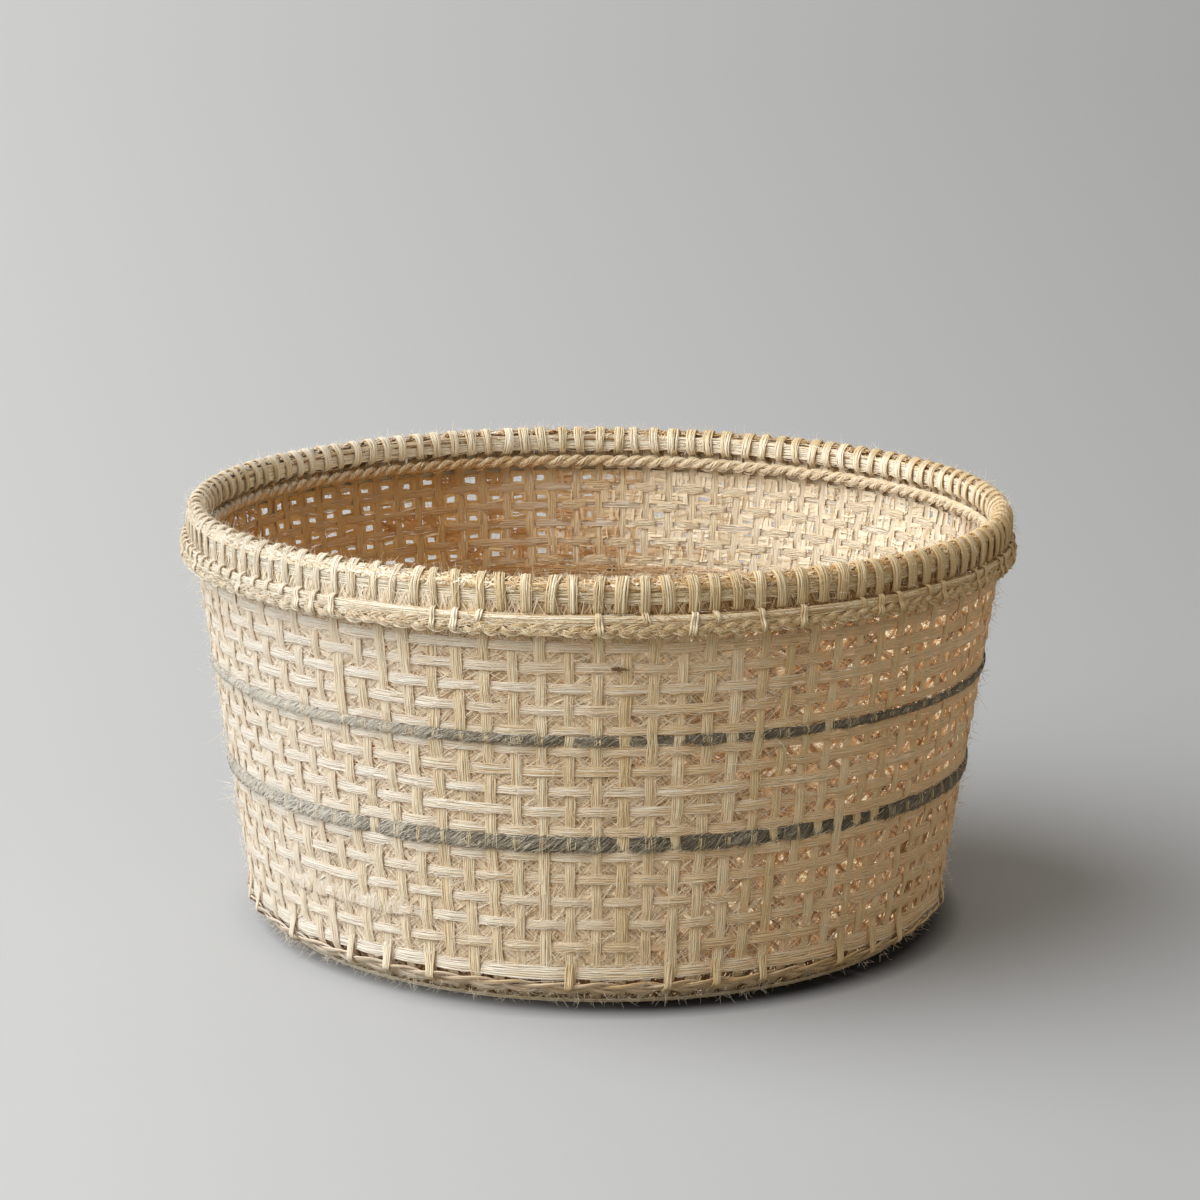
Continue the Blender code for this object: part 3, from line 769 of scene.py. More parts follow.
def make_foot_tails():
    """Ends of the stakes that pass over the wide row and the upper half of the foot border."""
    source = np.random.default_rng(43)
    low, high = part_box("foot_braid")
    lean = math.atan2(FOOT_RADIUS - RING_RADIUS, FOOT_BEND - RING_LEVEL)
    middle = np.array([high.x - 1.7 * MM, (low.z + high.z) / 2 + 1.9 * MM])
    up = np.array([math.sin(lean), math.cos(lean)])
    face = np.array([math.cos(lean), -math.sin(lean)])
    station = np.flatnonzero((SIDES[0] < 0) & (source.uniform(0, 1, STAKE_COUNT) < 0.75))
    start = LEVELS[0] + 3.4 * MM
    outline = curve_through([
        (wall_radius(start) + 0.1 * MM, start), (wall_radius(LEVELS[0]) + 0.75 * MM, LEVELS[0] + 0.6 * MM),
        middle + (2.7 * up + 1.3 * face) * MM, middle + (1.0 * up + 1.5 * face) * MM, middle + (-1.0 * up + 1.0 * face) * MM], 12)
    count = len(station)
    share = np.linspace(0, 1, 12)
    lean_over = source.normal(0, 1.0, (count, 1)) * MM / FOOT_RADIUS * share
    angle = station[:, None] * TURN / STAKE_COUNT + lean_over
    slope = unit(np.gradient(outline, axis=0))
    path = polar(outline[:, 0], angle, outline[:, 1])
    out = outward(angle) * -slope[:, 1, None] + np.array([0, 0, 1.0]) * slope[:, 0, None]
    width = source.uniform(2.8, 3.6, (count, 1)) * MM * (1 - 0.3 * share)
    strands = Strands()
    add_bundle(strands, source, path, out, width, 0.5 * MM, 5, source.uniform(0.25, 0.6, count), loose=0.4, knots=5)
    strands.build("foot_tails", STAKE_FIBRE)


def make_base():
    """A flat plaited mat inside the foot ring."""
    source = np.random.default_rng(42)
    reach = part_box("base_mat")[1].x + 0.6 * MM
    pitch = 4.8 * MM
    half = int(reach / pitch)
    strands = Strands()
    for direction in range(2):
        for line in range(-half, half + 1):
            offset = line * pitch
            chord = math.sqrt(max(reach ** 2 - (abs(offset) + pitch / 2) ** 2, 0))
            if chord < 2 * pitch:
                continue
            run = np.linspace(-chord, chord, 2 * max(int(2 * chord / pitch), 4) + 1)
            height = np.cos(math.pi * (run / pitch + line + direction)) * 0.42 * MM
            place = np.full_like(run, offset) + 0.15 * MM * smooth_noise(source, 1, len(run), 10)[0]
            flat = (run, place) if direction == 0 else (place, run)
            path = np.stack([*flat, 1.2 * MM + height], axis=-1)[None]
            add_bundle(strands, source, path, np.array([0, 0, 1.0]), 4.3 * MM, 0.6 * MM, 3,
                       [source.uniform(0.3, 0.7)], knots=16)
    strands.build("base_mat_strands", STAKE_FIBRE, "stake_straw", ["base_mat"])


# The rim

HOOP_LOW, HOOP_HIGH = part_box("rim_outer_hoop")[0].z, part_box("rim_outer_hoop")[1].z
HOOP_OUTER = node_reach("rim_outer_hoop")
HOOP_INNER = node_reach("rim_inner_hoop") - 2.4 * MM
TOP_LEVEL = CAD_BOX[1].z
CORD_LOW, CORD_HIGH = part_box("rim_cord")[0].z - 0.9 * MM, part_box("rim_cord")[1].z - 1.3 * MM
CORD_OUTER = node_reach("rim_cord")
BRAID_LOW, BRAID_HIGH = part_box("rim_braid")[0].z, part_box("rim_braid")[1].z - 0.6 * MM
BRAID_OUTER = node_reach("rim_braid")


def make_hoops():
    """Each hoop is a flat face of fine fibres over a thicker strand."""
    source = np.random.default_rng(51)
    steps = 480
    angle = np.arange(steps) * TURN / steps
    for name, radius, face, drop in (("rim_outer_hoop", HOOP_OUTER - 1.3 * MM, 0.9 * MM, 0.8 * MM),
                                     ("rim_inner_hoop", HOOP_INNER + 1.4 * MM, -0.9 * MM, 0.8 * MM)):
        strands = Strands()
        level = (HOOP_LOW - drop + HOOP_HIGH) / 2 + 0.2 * MM * smooth_noise(source, 1, steps, 50, True)
        height = (HOOP_HIGH - HOOP_LOW + drop) * (1 + 0.05 * smooth_noise(source, 1, steps, 60, True))
        add_bundle(strands, source, polar(radius, angle[None], level), outward(angle)[None], height, 1.9 * MM, 5,
                   [0.4], knots=110, closed=True)
        path = polar(radius + face, angle[None], level)
        add_bundle(strands, source, path, outward(angle)[None], height, 0.6 * MM, 9, [0.6],
                   spread=0.3, loose=0.5, knots=110, closed=True)
        add_strays(strands, source, path, outward(angle)[None] * math.copysign(1, face), height, 0.6 * MM, 9,
                   0.07 * MM, 0.8, 130, True)
        strands.build(name + "_strand", RIM_FIBRE, "rim_straw", [name])


def lit_left_share(angle):
    """1 at the left end of the rim, the side the key lights, where the filler is flush and its fibres are painted
    paler as painted light, and 0 elsewhere.
    """
    return ease((np.cos(angle - math.radians(205)) - 0.35) / 0.4)


def loop_outline():
    """Radius and level round one turn of the lashing, from the outer bottom up and over."""
    outer = HOOP_OUTER + 0.5 * MM
    inner = HOOP_INNER - 0.5 * MM
    top = TOP_LEVEL - 0.45 * MM
    tuck = CORD_HIGH + 0.1 * MM
    low = HOOP_LOW - 1.8 * MM
    middle = (outer + inner) / 2
    return np.array([
        (middle + 0.6 * MM, tuck + 0.9 * MM), (outer - 1.3 * MM, tuck + 0.1 * MM),
        (outer - 0.2 * MM, tuck + 1.3 * MM), (outer + 0.2 * MM, top - 5.6 * MM),
        (outer - 0.25 * MM, top - 2.9 * MM), (outer - 1.7 * MM, top - 0.85 * MM),
        (middle + 0.2 * MM, top), (inner + 1.7 * MM, top - 0.95 * MM),
        (inner + 0.3 * MM, top - 2.9 * MM), (inner - 0.2 * MM, top - 5.6 * MM),
        (inner, low + 1.5 * MM), (inner + 1.2 * MM, low), (middle - 1.2 * MM, low - 0.3 * MM)])


def loop_angles(source):
    """Where each turn of the lashing stands round the rim."""
    even = np.arange(LOOPS) * TURN / LOOPS
    return even + source.uniform(-0.5, 0.5, LOOPS) * MM / HOOP_OUTER


LOOP_ANGLES = loop_angles(np.random.default_rng(52))


def make_lashing():
    source = np.random.default_rng(53)
    steps = 28
    outline = curve_through(loop_outline(), steps, True)
    share = np.arange(steps) / steps
    over = np.where((share > 0.1) & (share < 0.9), ease((share - 0.15) / 0.35), 0)
    lean = source.uniform(-1.3, 1.3, (LOOPS, 1)) * MM
    gap = TURN / STAKE_COUNT
    passage = (np.floor(LOOP_ANGLES / gap) + 0.5) * gap
    miss = (passage - LOOP_ANGLES)[:, None]
    under = 1 - ease(share / 0.06) * ease((1 - share) / 0.06)
    back = ease((share - 0.55) / 0.35)
    angle = (LOOP_ANGLES[:, None] + lean / HOOP_OUTER * over * (1 - back)
             + np.clip(miss, -0.012, 0.012) * under)
    left = lit_left_share(LOOP_ANGLES)[:, None]
    radius = outline[:, 0] + source.uniform(-0.15, 0.25, (LOOPS, 1)) * MM - 0.35 * MM * left
    proud = 0.45 * MM * left * ease((outline[:, 1] - HOOP_HIGH) / (2 * MM))
    path = polar(radius, angle, outline[:, 1] + proud)
    centre = outline.mean(axis=0)
    away = unit(outline - centre)
    out = outward(angle) * away[:, 0, None] + np.array([0, 0, 1.0]) * away[:, 1, None]
    width = LOOP_WIDTH * source.uniform(0.85, 1.12, (LOOPS, 1)) * (1 - 0.2 * left) * (1 + 0.08 * np.sin(TURN * share - 0.6))
    strands = Strands()
    # The loops' tone is painted darker on the lit left, against the filler painted paler there: painted light and
    # shade.
    add_bundle(strands, source, path, out, width, LOOP_DEPTH, 5,
               source.uniform(0.3, 0.65, LOOPS) - 0.3 * left[:, 0], spread=0.3, loose=0.35, knots=7, closed=True)
    add_strays(strands, source, path, out, width, LOOP_DEPTH, 2, 0.07 * MM, 0.7, 7, True)
    strands.build("rim_lashing_strand", RIM_FIBRE, "rim_straw", ["rim_lashing"])


def make_filler():
    """The bundle over the hoops: short frayed fibres over a dark core."""
    source = np.random.default_rng(54)
    steps = 360
    angle = np.arange(steps) * TURN / steps
    core = Strands()
    middle = (HOOP_OUTER + HOOP_INNER) / 2
    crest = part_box("rim_core")[1].z
    half = 3.1 * MM
    for place in np.linspace(-0.8, 0.8, 7):
        level = crest - 1.8 * MM - (1 - math.sqrt(1 - place ** 2)) * half
        wander = smooth_noise(source, 2, steps, 90, True) * 0.3 * MM
        path = polar(middle + place * half * 0.9 + wander[0], angle, level + wander[1])[None]
        across, out = path_frame(path, outward(angle)[None], True)
        core.add(path, across, out, 0.6 * MM, 0.6 * MM, source.uniform(0.1, 0.7, 1), closed=True)
    core.build("rim_core_fibres", CORE_FIBRE, "rim_straw", ["rim_core"])
    strands = Strands()
    for count, thin, thick, reach, turning, inner_side, outer_side, at_left in (
            (6400, 0.08, 0.2, 2.2, 0.6, -0.5, 1.45, False), (3400, 0.2, 0.45, 3.0, 0.3, -0.35, 1.45, False),
            (3000, 0.2, 0.5, 2.6, 0.3, -0.3, 1.6, True), (700, 0.08, 0.25, 2.2, 0.4, -1.4, -0.4, False)):
        about = source.uniform(inner_side, outer_side, count)
        turn = source.normal(0, turning, count)
        start = source.uniform(0, TURN, count)
        if at_left:
            start = math.radians(200) + source.normal(0, 0.5, count)
        left = lit_left_share(start)
        sweep = source.normal(0, 1, count) * reach * MM / middle
        share = np.linspace(0, 1, 4)
        about = np.clip(about[:, None] + turn[:, None] * share, inner_side - 0.2, 1.6)
        lift = half - 0.15 * MM + 0.1 * MM * left[:, None] + source.uniform(0, 0.7, (count, 1)) * MM * np.sin(math.pi * (0.15 + 0.7 * share))
        radius = middle + lift * np.sin(about)
        level = crest - half + 0.1 * MM + lift * np.cos(about)
        path = polar(radius, start[:, None] + sweep[:, None] * share, level)
        away = outward(start)[:, None] * np.sin(about[..., None]) + np.array([0, 0, 1.0]) * np.cos(about[..., None])
        across, out = path_frame(path, away)
        # Filler fibres are painted paler on the lit left: painted light.
        strands.add(path, across, out, source.uniform(thin, thick, (count, 1)) * MM, 0.0,
                    np.clip(source.uniform(-0.1, 0.9, count) + 0.15 * left, 0, 1), 2, rim=0.3)
    strands.build("rim_filler_fibres", FILLER_FIBRE, "rim_straw")


def make_cord():
    """A flat strand round the outside, under the lashing's loops."""
    source = np.random.default_rng(55)
    steps = 480
    angle = np.arange(steps) * TURN / steps
    strands = Strands()
    for inset, height, tone in ((0.8, 2.9, 0.7), (2.4, 3.4, 0.35)):
        level = CORD_HIGH - 0.5 * MM - height / 2 * MM + 0.22 * MM * smooth_noise(source, 1, steps, 60, True)
        path = polar(CORD_OUTER - inset * MM, angle[None], level)
        width = height * MM * (1 + 0.08 * smooth_noise(source, 1, steps, 50, True))
        add_bundle(strands, source, path, outward(angle)[None], width, 1.3 * MM, 5, [tone],
                   spread=0.3, knots=110, closed=True)
        add_strays(strands, source, path, outward(angle)[None], width, 1.3 * MM, 5, 0.07 * MM, 0.8, 130, True)
    strands.build("rim_cord_strand", RIM_FIBRE, "rim_straw", ["rim_cord"])


def make_braid():
    """A plait of three flat strands below the cord."""
    source = np.random.default_rng(56)
    strands = Strands()
    middle = (BRAID_LOW + BRAID_HIGH) / 2
    add_plait(strands, source, BRAID_OUTER - 1.5 * MM, middle, 0.0, 1.3 * MM, 0.8 * MM, 1.75 * MM, 0.85 * MM,
              50, 0.08)
    steps = 480
    angle = np.arange(steps) * TURN / steps
    path = polar(BRAID_OUTER - 3.4 * MM, angle[None], np.full((1, steps), middle))
    add_bundle(strands, source, path, outward(angle)[None], 3.8 * MM, 1.2 * MM, 4, [0.1],
               knots=60, closed=True)
    strands.build("rim_braid_strands", RIM_FIBRE, "rim_straw", ["rim_braid"])


def make_stitches():
    """Stitches that run on from most loops over the cord, half of them over the braid too."""
    source = np.random.default_rng(57)
    cord_middle, braid_middle = (CORD_LOW + CORD_HIGH) / 2, (BRAID_LOW + BRAID_HIGH) / 2
    top = [(HOOP_OUTER - 0.6 * MM, HOOP_LOW + 0.6 * MM), (HOOP_OUTER - 0.5 * MM, CORD_HIGH + 0.9 * MM),
           (CORD_OUTER - 0.35 * MM, CORD_HIGH + 0.1 * MM), (CORD_OUTER + 0.3 * MM, cord_middle + 0.6 * MM)]
    short = top + [(CORD_OUTER + 0.1 * MM, CORD_LOW + 0.7 * MM), (CORD_OUTER - 1.6 * MM, CORD_LOW)]
    long = top + [(CORD_OUTER + 0.3 * MM, CORD_LOW + 0.3 * MM), (BRAID_OUTER + 0.2 * MM, braid_middle + 0.3 * MM),
                  (BRAID_OUTER - 0.9 * MM, BRAID_LOW + 0.1 * MM), (BRAID_OUTER - 3.6 * MM, BRAID_LOW - 0.2 * MM)]
    draw = source.uniform(0, 1, LOOPS)
    left = np.cos(LOOP_ANGLES - math.radians(195)) > 0.75
    long_share, short_share = np.where(left, 0.45, 0.36), np.where(left, 0.92, 0.5)
    strands = Strands()
    for points, chosen, steps in ((short, (draw >= long_share) & (draw < short_share), 14), (long, draw < long_share, 20)):
        outline = curve_through(points, steps)
        slope = unit(np.gradient(outline, axis=0))
        count = int(chosen.sum())
        lean = source.uniform(-1.3, 1.3, (count, 1)) * MM / BRAID_OUTER
        angle = LOOP_ANGLES[chosen][:, None] + lean * ease(np.linspace(-0.4, 1, steps))
        path = polar(outline[:, 0], angle, outline[:, 1])
        out = outward(angle) * -slope[:, 1, None] + np.array([0, 0, 1.0]) * slope[:, 0, None]
        width = source.uniform(1.7, 2.7, (count, 1)) * MM * (1 - 0.25 * np.exp(-(np.linspace(0, 1, steps) / 0.3) ** 2))
        # Stitches are painted darker on the lit left, like the loops: painted light and shade.
        add_bundle(strands, source, path, out, width, 0.6 * MM, 3,
                   source.uniform(0.35, 0.75, count) - 0.2 * left[chosen], spread=0.3, loose=0.35, knots=5)
    strands.build("rim_stitches", RIM_FIBRE, "rim_straw")


def make_inner_rope():
    """A loose two-ply rope under the rim, inside."""
    source = np.random.default_rng(58)
    low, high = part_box("inner_rope")
    middle = (low.z + high.z) / 2
    half = (high.z - low.z) / 2
    centre_radius = high.x - half
    steps = 840
    lobes = 76
    angle = np.arange(steps) * TURN / steps
    strands = Strands()
    for ply in range(2):
        phase = angle * lobes + math.pi * ply + 0.3 * smooth_noise(source, 1, steps, 60, True)[0]
        path = polar(centre_radius + 0.75 * MM * np.cos(phase), angle, middle + 1.2 * MM * np.sin(phase))[None]
        out = (outward(angle) * np.cos(phase)[:, None] + np.array([0, 0, 1.0]) * np.sin(phase)[:, None])[None]
        add_twist(strands, source, path, out, 0.85 * MM, 0.75 * MM, 30 * MM, 9, 0.34 * MM, 0.5, 0.35)
        add_strays(strands, source, path, -outward(angle)[None], 2.6 * MM, 1.6 * MM, 6, 0.07 * MM, 0.7, 200, True)
    strands.build("inner_rope_strands", STAKE_FIBRE, "stake_straw", ["inner_rope"])


def make_recess_fibres():
    """Fine fibres that cross in the dark recess between the hoop and the cord."""
    source = np.random.default_rng(59)
    strands = Strands()
    for count, thin, thick, deep, shallow, low_tone, high_tone in (
            (5200, 0.15, 0.4, 2.9, 1.5, 0.0, 0.5), (1900, 0.06, 0.16, 1.4, 0.2, 0.3, 1.0)):
        angle = source.uniform(0, TURN, count)
        sweep = source.choice([-1, 1], count) * source.uniform(0.8, 4.2, count) * MM / HOOP_OUTER
        share = np.linspace(0, 1, 4)
        level = HOOP_LOW + 0.8 * MM + (CORD_HIGH - HOOP_LOW - 1.6 * MM) * share
        left = lit_left_share(angle)
        inset = source.uniform(shallow, deep, count) * (1 - 0.6 * left)
        radius = HOOP_OUTER - inset[:, None] * MM + 0.3 * MM * np.sin(math.pi * share)
        path = polar(radius, angle[:, None] + sweep[:, None] * share, level)
        across, out = path_frame(path, outward(angle)[:, None])
        # Recess fibres are painted paler on the lit left: painted light.
        strands.add(path, across, out, source.uniform(thin, thick, (count, 1)) * MM, 0.0,
                    np.clip(source.uniform(low_tone, high_tone, count) + 0.45 * left, 0, 1), 2, rim=0.3)
    strands.build("recess_fibres", FILLER_FIBRE)


def make_rim_fuzz():
    """Short frayed fibres that lie on the cord and the braid."""
    source = np.random.default_rng(60)
    count = 4200
    start = source.uniform(0, TURN, (count, 1))
    share = np.linspace(-0.5, 0.5, 4)
    level = source.uniform(BRAID_LOW - 0.3 * MM, CORD_HIGH - 0.3 * MM, (count, 1))
    lean = source.normal(-0.25, 0.5, (count, 1))
    run = source.uniform(1.5, 5.0, (count, 1)) * MM * share
    level = np.clip(level + run * np.sin(lean), BRAID_LOW - 0.6 * MM, CORD_HIGH)
    base = np.interp(level, [BRAID_LOW - 0.6 * MM, BRAID_LOW + 1.2 * MM, BRAID_HIGH - 0.5 * MM, CORD_LOW + 0.3 * MM,
                             CORD_HIGH - 1.5 * MM, CORD_HIGH],
                     [BRAID_OUTER - 1.8 * MM, BRAID_OUTER - 0.1 * MM, BRAID_OUTER - 0.5 * MM, CORD_OUTER - 0.2 * MM,
                      CORD_OUTER, CORD_OUTER - 0.8 * MM])
    radius = base + source.uniform(-0.5, 0.35, (count, 1)) * MM + 0.3 * MM * source.uniform(-1, 1, (count, 1)) * share
    path = polar(radius, start + run * np.cos(lean) / BRAID_OUTER, level)
    across, out = path_frame(path, outward(start[:, 0])[:, None])
    strands = Strands()
    strands.add(path, across, out, source.uniform(0.05, 0.12, (count, 1)) * MM, 0.0,
                source.uniform(0.15, 0.85, count), 2, rim=0.2)
    strands.build("rim_fuzz", FILLER_FIBRE)


def make_darning():
    """A darned patch low on the left: flat upright wraps that close the third row's openings."""
    source = np.random.default_rng(62)
    strands = Strands()
    row = 2
    count = 22
    station = 57 + np.arange(count) // 3
    aside = (np.arange(count) % 3 - 1) * 2.1 * MM + source.normal(0, 0.12, count) * MM
    angle = (station + 0.5)[:, None] * TURN / STAKE_COUNT + aside[:, None] / FOOT_RADIUS
    share = np.linspace(-1, 1, 11)
    half = source.uniform(2.6, 3.3, (count, 1)) * MM
    level = LEVELS[row] + 0.6 * MM + source.normal(0, 0.25, (count, 1)) * MM + half * share
    bulge = source.uniform(0.4, 0.6, (count, 1)) * MM * np.sqrt(1.02 - share ** 2)
    radius = wall_radius(LEVELS[row]) - 0.1 * MM + bulge
    angle = angle + source.normal(0.4, 0.3, (count, 1)) * MM / radius * share
    path = polar(radius, angle, level)
    width = source.uniform(2.5, 3.0, (count, 1)) * MM * (1 - 0.25 * share ** 4)
    add_bundle(strands, source, path, outward(angle), width, 0.4 * MM, 6,
               source.uniform(0.1, 0.4, count), spread=0.3, knots=4)
    add_strays(strands, source, path, outward(angle), width, 0.6 * MM, 4, 0.06 * MM, 0.6, 4)
    strands.build("darned_patch", WEAVER_FIBRE)


def make_fleck():
    """A dark scrap of bark caught on an upper row at the front."""
    source = np.random.default_rng(63)
    count = 26
    share = np.linspace(-0.5, 0.5, 4)
    level = 123.0 * MM + source.normal(0, 0.35, (count, 1)) * MM + source.normal(0, 0.3, (count, 1)) * MM * share
    angle = math.radians(-87.3) + source.normal(0, 0.9, (count, 1)) * MM / RIM_RADIUS
    angle = angle + source.uniform(1.2, 3.2, (count, 1)) * MM / RIM_RADIUS * share
    radius = wall_radius(level) + source.uniform(1.0, 1.6, (count, 1)) * MM
    path = polar(radius, angle, level)
    across, out = path_frame(path, outward(angle))
    strands = Strands()
    strands.add(path, across, out, source.uniform(0.1, 0.28, (count, 1)) * MM, 0.0, source.uniform(0, 0.6, count), 2)
    strands.build("bark_fleck", CORE_FIBRE)


# Loose fibres

LINING_ZONES = {"lower": range(0, 6), "middle": range(6, 12), "upper": range(12, len(ROWS))}
STATION_ANGLE = (np.arange(STAKE_COUNT) + 0.5) * 360 / STAKE_COUNT
STATION_ANGLE = np.where(STATION_ANGLE > 200, STATION_ANGLE - 360, STATION_ANGLE)
# Each row's zones start up to 9 degrees off those of its neighbours
ROW_ANGLES = STATION_ANGLE + np.random.default_rng(66).uniform(-9, 9, (len(ROWS), 1))


def lining_share(row):
    """How much of each opening's lining is kept: less on the right, where light comes through."""
    right = ease((ROW_ANGLES[row] + 70) / 20) * ease((24 - ROW_ANGLES[row]) / 14)
    return 1 - right * (0.4 if row > 6 else 0.25)


def framed_openings(source, row):
    """Openings high on the back wall whose lining leaves a small oblong hole."""
    chance = ease((STATION_ANGLE - 66) / 40) * ease((160 - STATION_ANGLE) / 8) * (0.9 if row > 11 else 0.45)
    return (source.uniform(0, 1, STAKE_COUNT) < chance) & (row > 8) & ((STATION_ANGLE > 98) | (row > 15))


def add_lining(strands, source, edges, side, kept, framed, calm, count, thin, thick, deep, shallow, tone):
    """Slanting ribbons that cross the openings between two levels from edge to edge.

    kept is the share of ribbons for each opening, and tone their tone there. Framed openings
    keep a hole in the middle.
    """
    half_height = (edges[1] - edges[0]) / 2
    picked = np.repeat(np.arange(STAKE_COUNT), count)
    picked = picked[source.uniform(0, 1, len(picked)) < kept[picked]]
    count = len(picked)
    slant = source.choice([-1, 1], count) * math.atan2(half_height, side) + source.normal(0, 0.22, count)
    level_run = source.uniform(0, 1, count) < 0.5
    wander = source.uniform(0.02, 0.16, count) * source.choice([-1, 1], count)
    slant = np.where((framed | calm)[picked], np.where(level_run, wander, math.pi / 2 - wander), slant)
    reach = np.array([side, half_height])[:, None]
    origin = reach * source.uniform(-1, 1, (2, count))
    edge = source.choice([-1, 1], count)
    frame = np.stack([np.where(level_run, origin[0], edge * side * source.uniform(0.66, 0.98, count)),
                      np.where(level_run, edge * half_height * source.uniform(0.42, 0.98, count), origin[1])])
    origin = np.where(framed[picked], frame, origin)
    direction = np.stack([np.cos(slant), np.sin(slant)])
    limits = np.sort([(-reach - origin) / direction, (reach - origin) / direction], axis=0)
    begin, end = limits[0].max(axis=0)[:, None], limits[1].min(axis=0)[:, None]
    share = np.linspace(0, 1, 3)
    bow = source.normal(0, 0.25, (count, 1)) * MM * np.sin(math.pi * share)
    place = origin[0][:, None] + direction[0][:, None] * (begin + (end - begin) * share) - direction[1][:, None] * bow
    rise = origin[1][:, None] + direction[1][:, None] * (begin + (end - begin) * share) + direction[0][:, None] * bow
    level = (edges[0] + edges[1]) / 2 + rise
    depth = source.uniform(deep, shallow, (count, 1)) * MM + source.normal(0, 0.15, (count, 1)) * MM * np.sin(math.pi * share)
    radius = lining_radius(level) + depth
    turned = (picked[:, None] + 0.5) * TURN / STAKE_COUNT + place / radius
    path = polar(radius, turned, level)
    across, out = path_frame(path, outward(turned), tilt=source.normal(0, 0.4, (count, 1)) + 0 * share)
    strands.add(path, across, out, source.uniform(thin, thick, (count, 1)) * MM / 2, 0.0,
                np.clip(source.normal(tone[picked], np.where(calm, 0.07, 0.12)[picked]), 0, 1), 2, rim=0.25)


def lining_radius(level):
    """The wall's radius, and the foot's below the bend."""
    share = np.clip((level - RING_LEVEL) / (FOOT_BEND - RING_LEVEL), 0, 1)
    foot = RING_RADIUS + 1 * MM + (FOOT_RADIUS - RING_RADIUS - 1 * MM) * np.sin(share * math.pi / 2)
    return np.where(level < FOOT_BEND, foot, wall_radius(level))


def make_lining():
    """Fibres that cross behind every opening of the weave and nearly close it."""
    source = np.random.default_rng(61)
    plain = np.zeros(STAKE_COUNT, bool)
    whole = np.ones(STAKE_COUNT)
    overlap = 0.4 * MM
    recess = Strands()
    for zone, rows in LINING_ZONES.items():
        crossing, lit_side, pale = Strands(), Strands(), Strands()
        for row in rows:
            low = LEVELS[row] + row_height(row) / 2 - overlap
            high = LEVELS[row + 1] - row_height(row + 1) / 2 + overlap if row + 1 < len(ROWS) else BRAID_BOTTOM + 1.5 * MM
            half_pitch = TURN / STAKE_COUNT / 2 * wall_radius(low)
            side = half_pitch - STAKE_WIDTH / 2 + overlap
            part = min(1.0, (high - low) / (4 * MM))
            angle = ROW_ANGLES[row]
            # Openings that the key lights, on the outer left and the inner back right, take the pale lining at a
            # lighter tone: painted light.
            lit = ease((-angle - 62) / 26) + (angle > 150)
            lit = lit + ease((angle - 8) / 14) * ease((100 - angle) / 30)
            front = ease((-angle + 10) / 30)
            # edge marks openings near the right silhouette, whose lining is painted darker and given fewer pale
            # fibres: painted shade.
            edge = ease((angle + 48) / 20) * ease((50 - angle) / 20)
            calm = (angle > 12) & (angle < 114)
            kept = lining_share(row)
            framed = framed_openings(source, row)
            # Lining tone is painted darker near the right silhouette in the lower rows, as painted shade, lighter on
            # the back wall, and lighter on the lit left, as painted light.
            painted_shade_deepening = edge * (0.25 if row < 7 else 0.0)
            painted_shade_deepening = painted_shade_deepening - 0.16 * calm - 0.22 * ease((-angle - 105) / 30) - 0.22 * (angle > 165)
            for strands, share, tone in ((crossing, 1 - lit, 0.42), (lit_side, lit, 0.5)):
                add_lining(strands, source, (low, high), side, np.where(framed, 0, kept) * share, plain, calm,
                           round(12 * part), 0.8, 1.7, -0.8, -0.4, tone - 0.12 - painted_shade_deepening)
                add_lining(strands, source, (low, high), side, np.where(framed, 0, kept ** 0.5) * share, plain, calm,
                           round(14 * part), 0.08, 0.22, -0.4, 0.0, tone + 0.1 - painted_shade_deepening)
            add_lining(lit_side, source, (low, high), side, framed * 1.0, framed, calm, 16, 0.8, 1.6, -0.4, 0.0, 0.35 * whole)
            add_lining(lit_side, source, (low, high), side, framed * 1.0, plain, calm, 10, 0.06, 0.14, -0.3, 0.0, 0.4 * whole)
            # Dark ribbons along the edges of the openings at the front: painted shade.
            add_lining(recess, source, (low, high), side, front * 0.35, whole > 0, calm, round(7 * part), 0.08, 0.22,
                       -0.4, -0.15, 0.6 * whole)
            add_lining(pale, source, (low - 0.5 * MM, high + 0.5 * MM), side + 0.6 * MM, (1.0 - framed) * (1 - 0.5 * edge) * np.where(calm, 0.3, 0.85),
                       plain, calm, round(11 * part), 0.07, 0.14, 0.0, 0.5, 0.7 * whole)
            if ROWS[row] in COVERING:
                half = node_height(ROWS[row]) / 2
                behind = ease((STATION_ANGLE - 5) / 20) * ease((185 - STATION_ANGLE) / 20)
                add_lining(crossing, source, (LEVELS[row] - half, LEVELS[row] + half), half_pitch, behind, plain, calm, 24,
                           0.3, 0.7, -1.4, -0.9, 0.45 * whole)
        crossing.build(f"lining_fibres_{zone}", LINING_FIBRE)
        lit_side.build(f"lit_side_lining_fibres_{zone}", LIT_SIDE_LINING_FIBRE)
        pale.build(f"opening_fibres_{zone}", HAIR_FIBRE)
    # Dark fibres over the foot below the first row: painted shade.
    add_lining(recess, source, (1.0 * MM, LEVELS[0]), 4 * MM, whole, plain, plain, 40, 0.4, 0.9, -1.4, -0.9, 0.4 * whole)
    recess.build("painted_shade_lining", CORE_FIBRE)


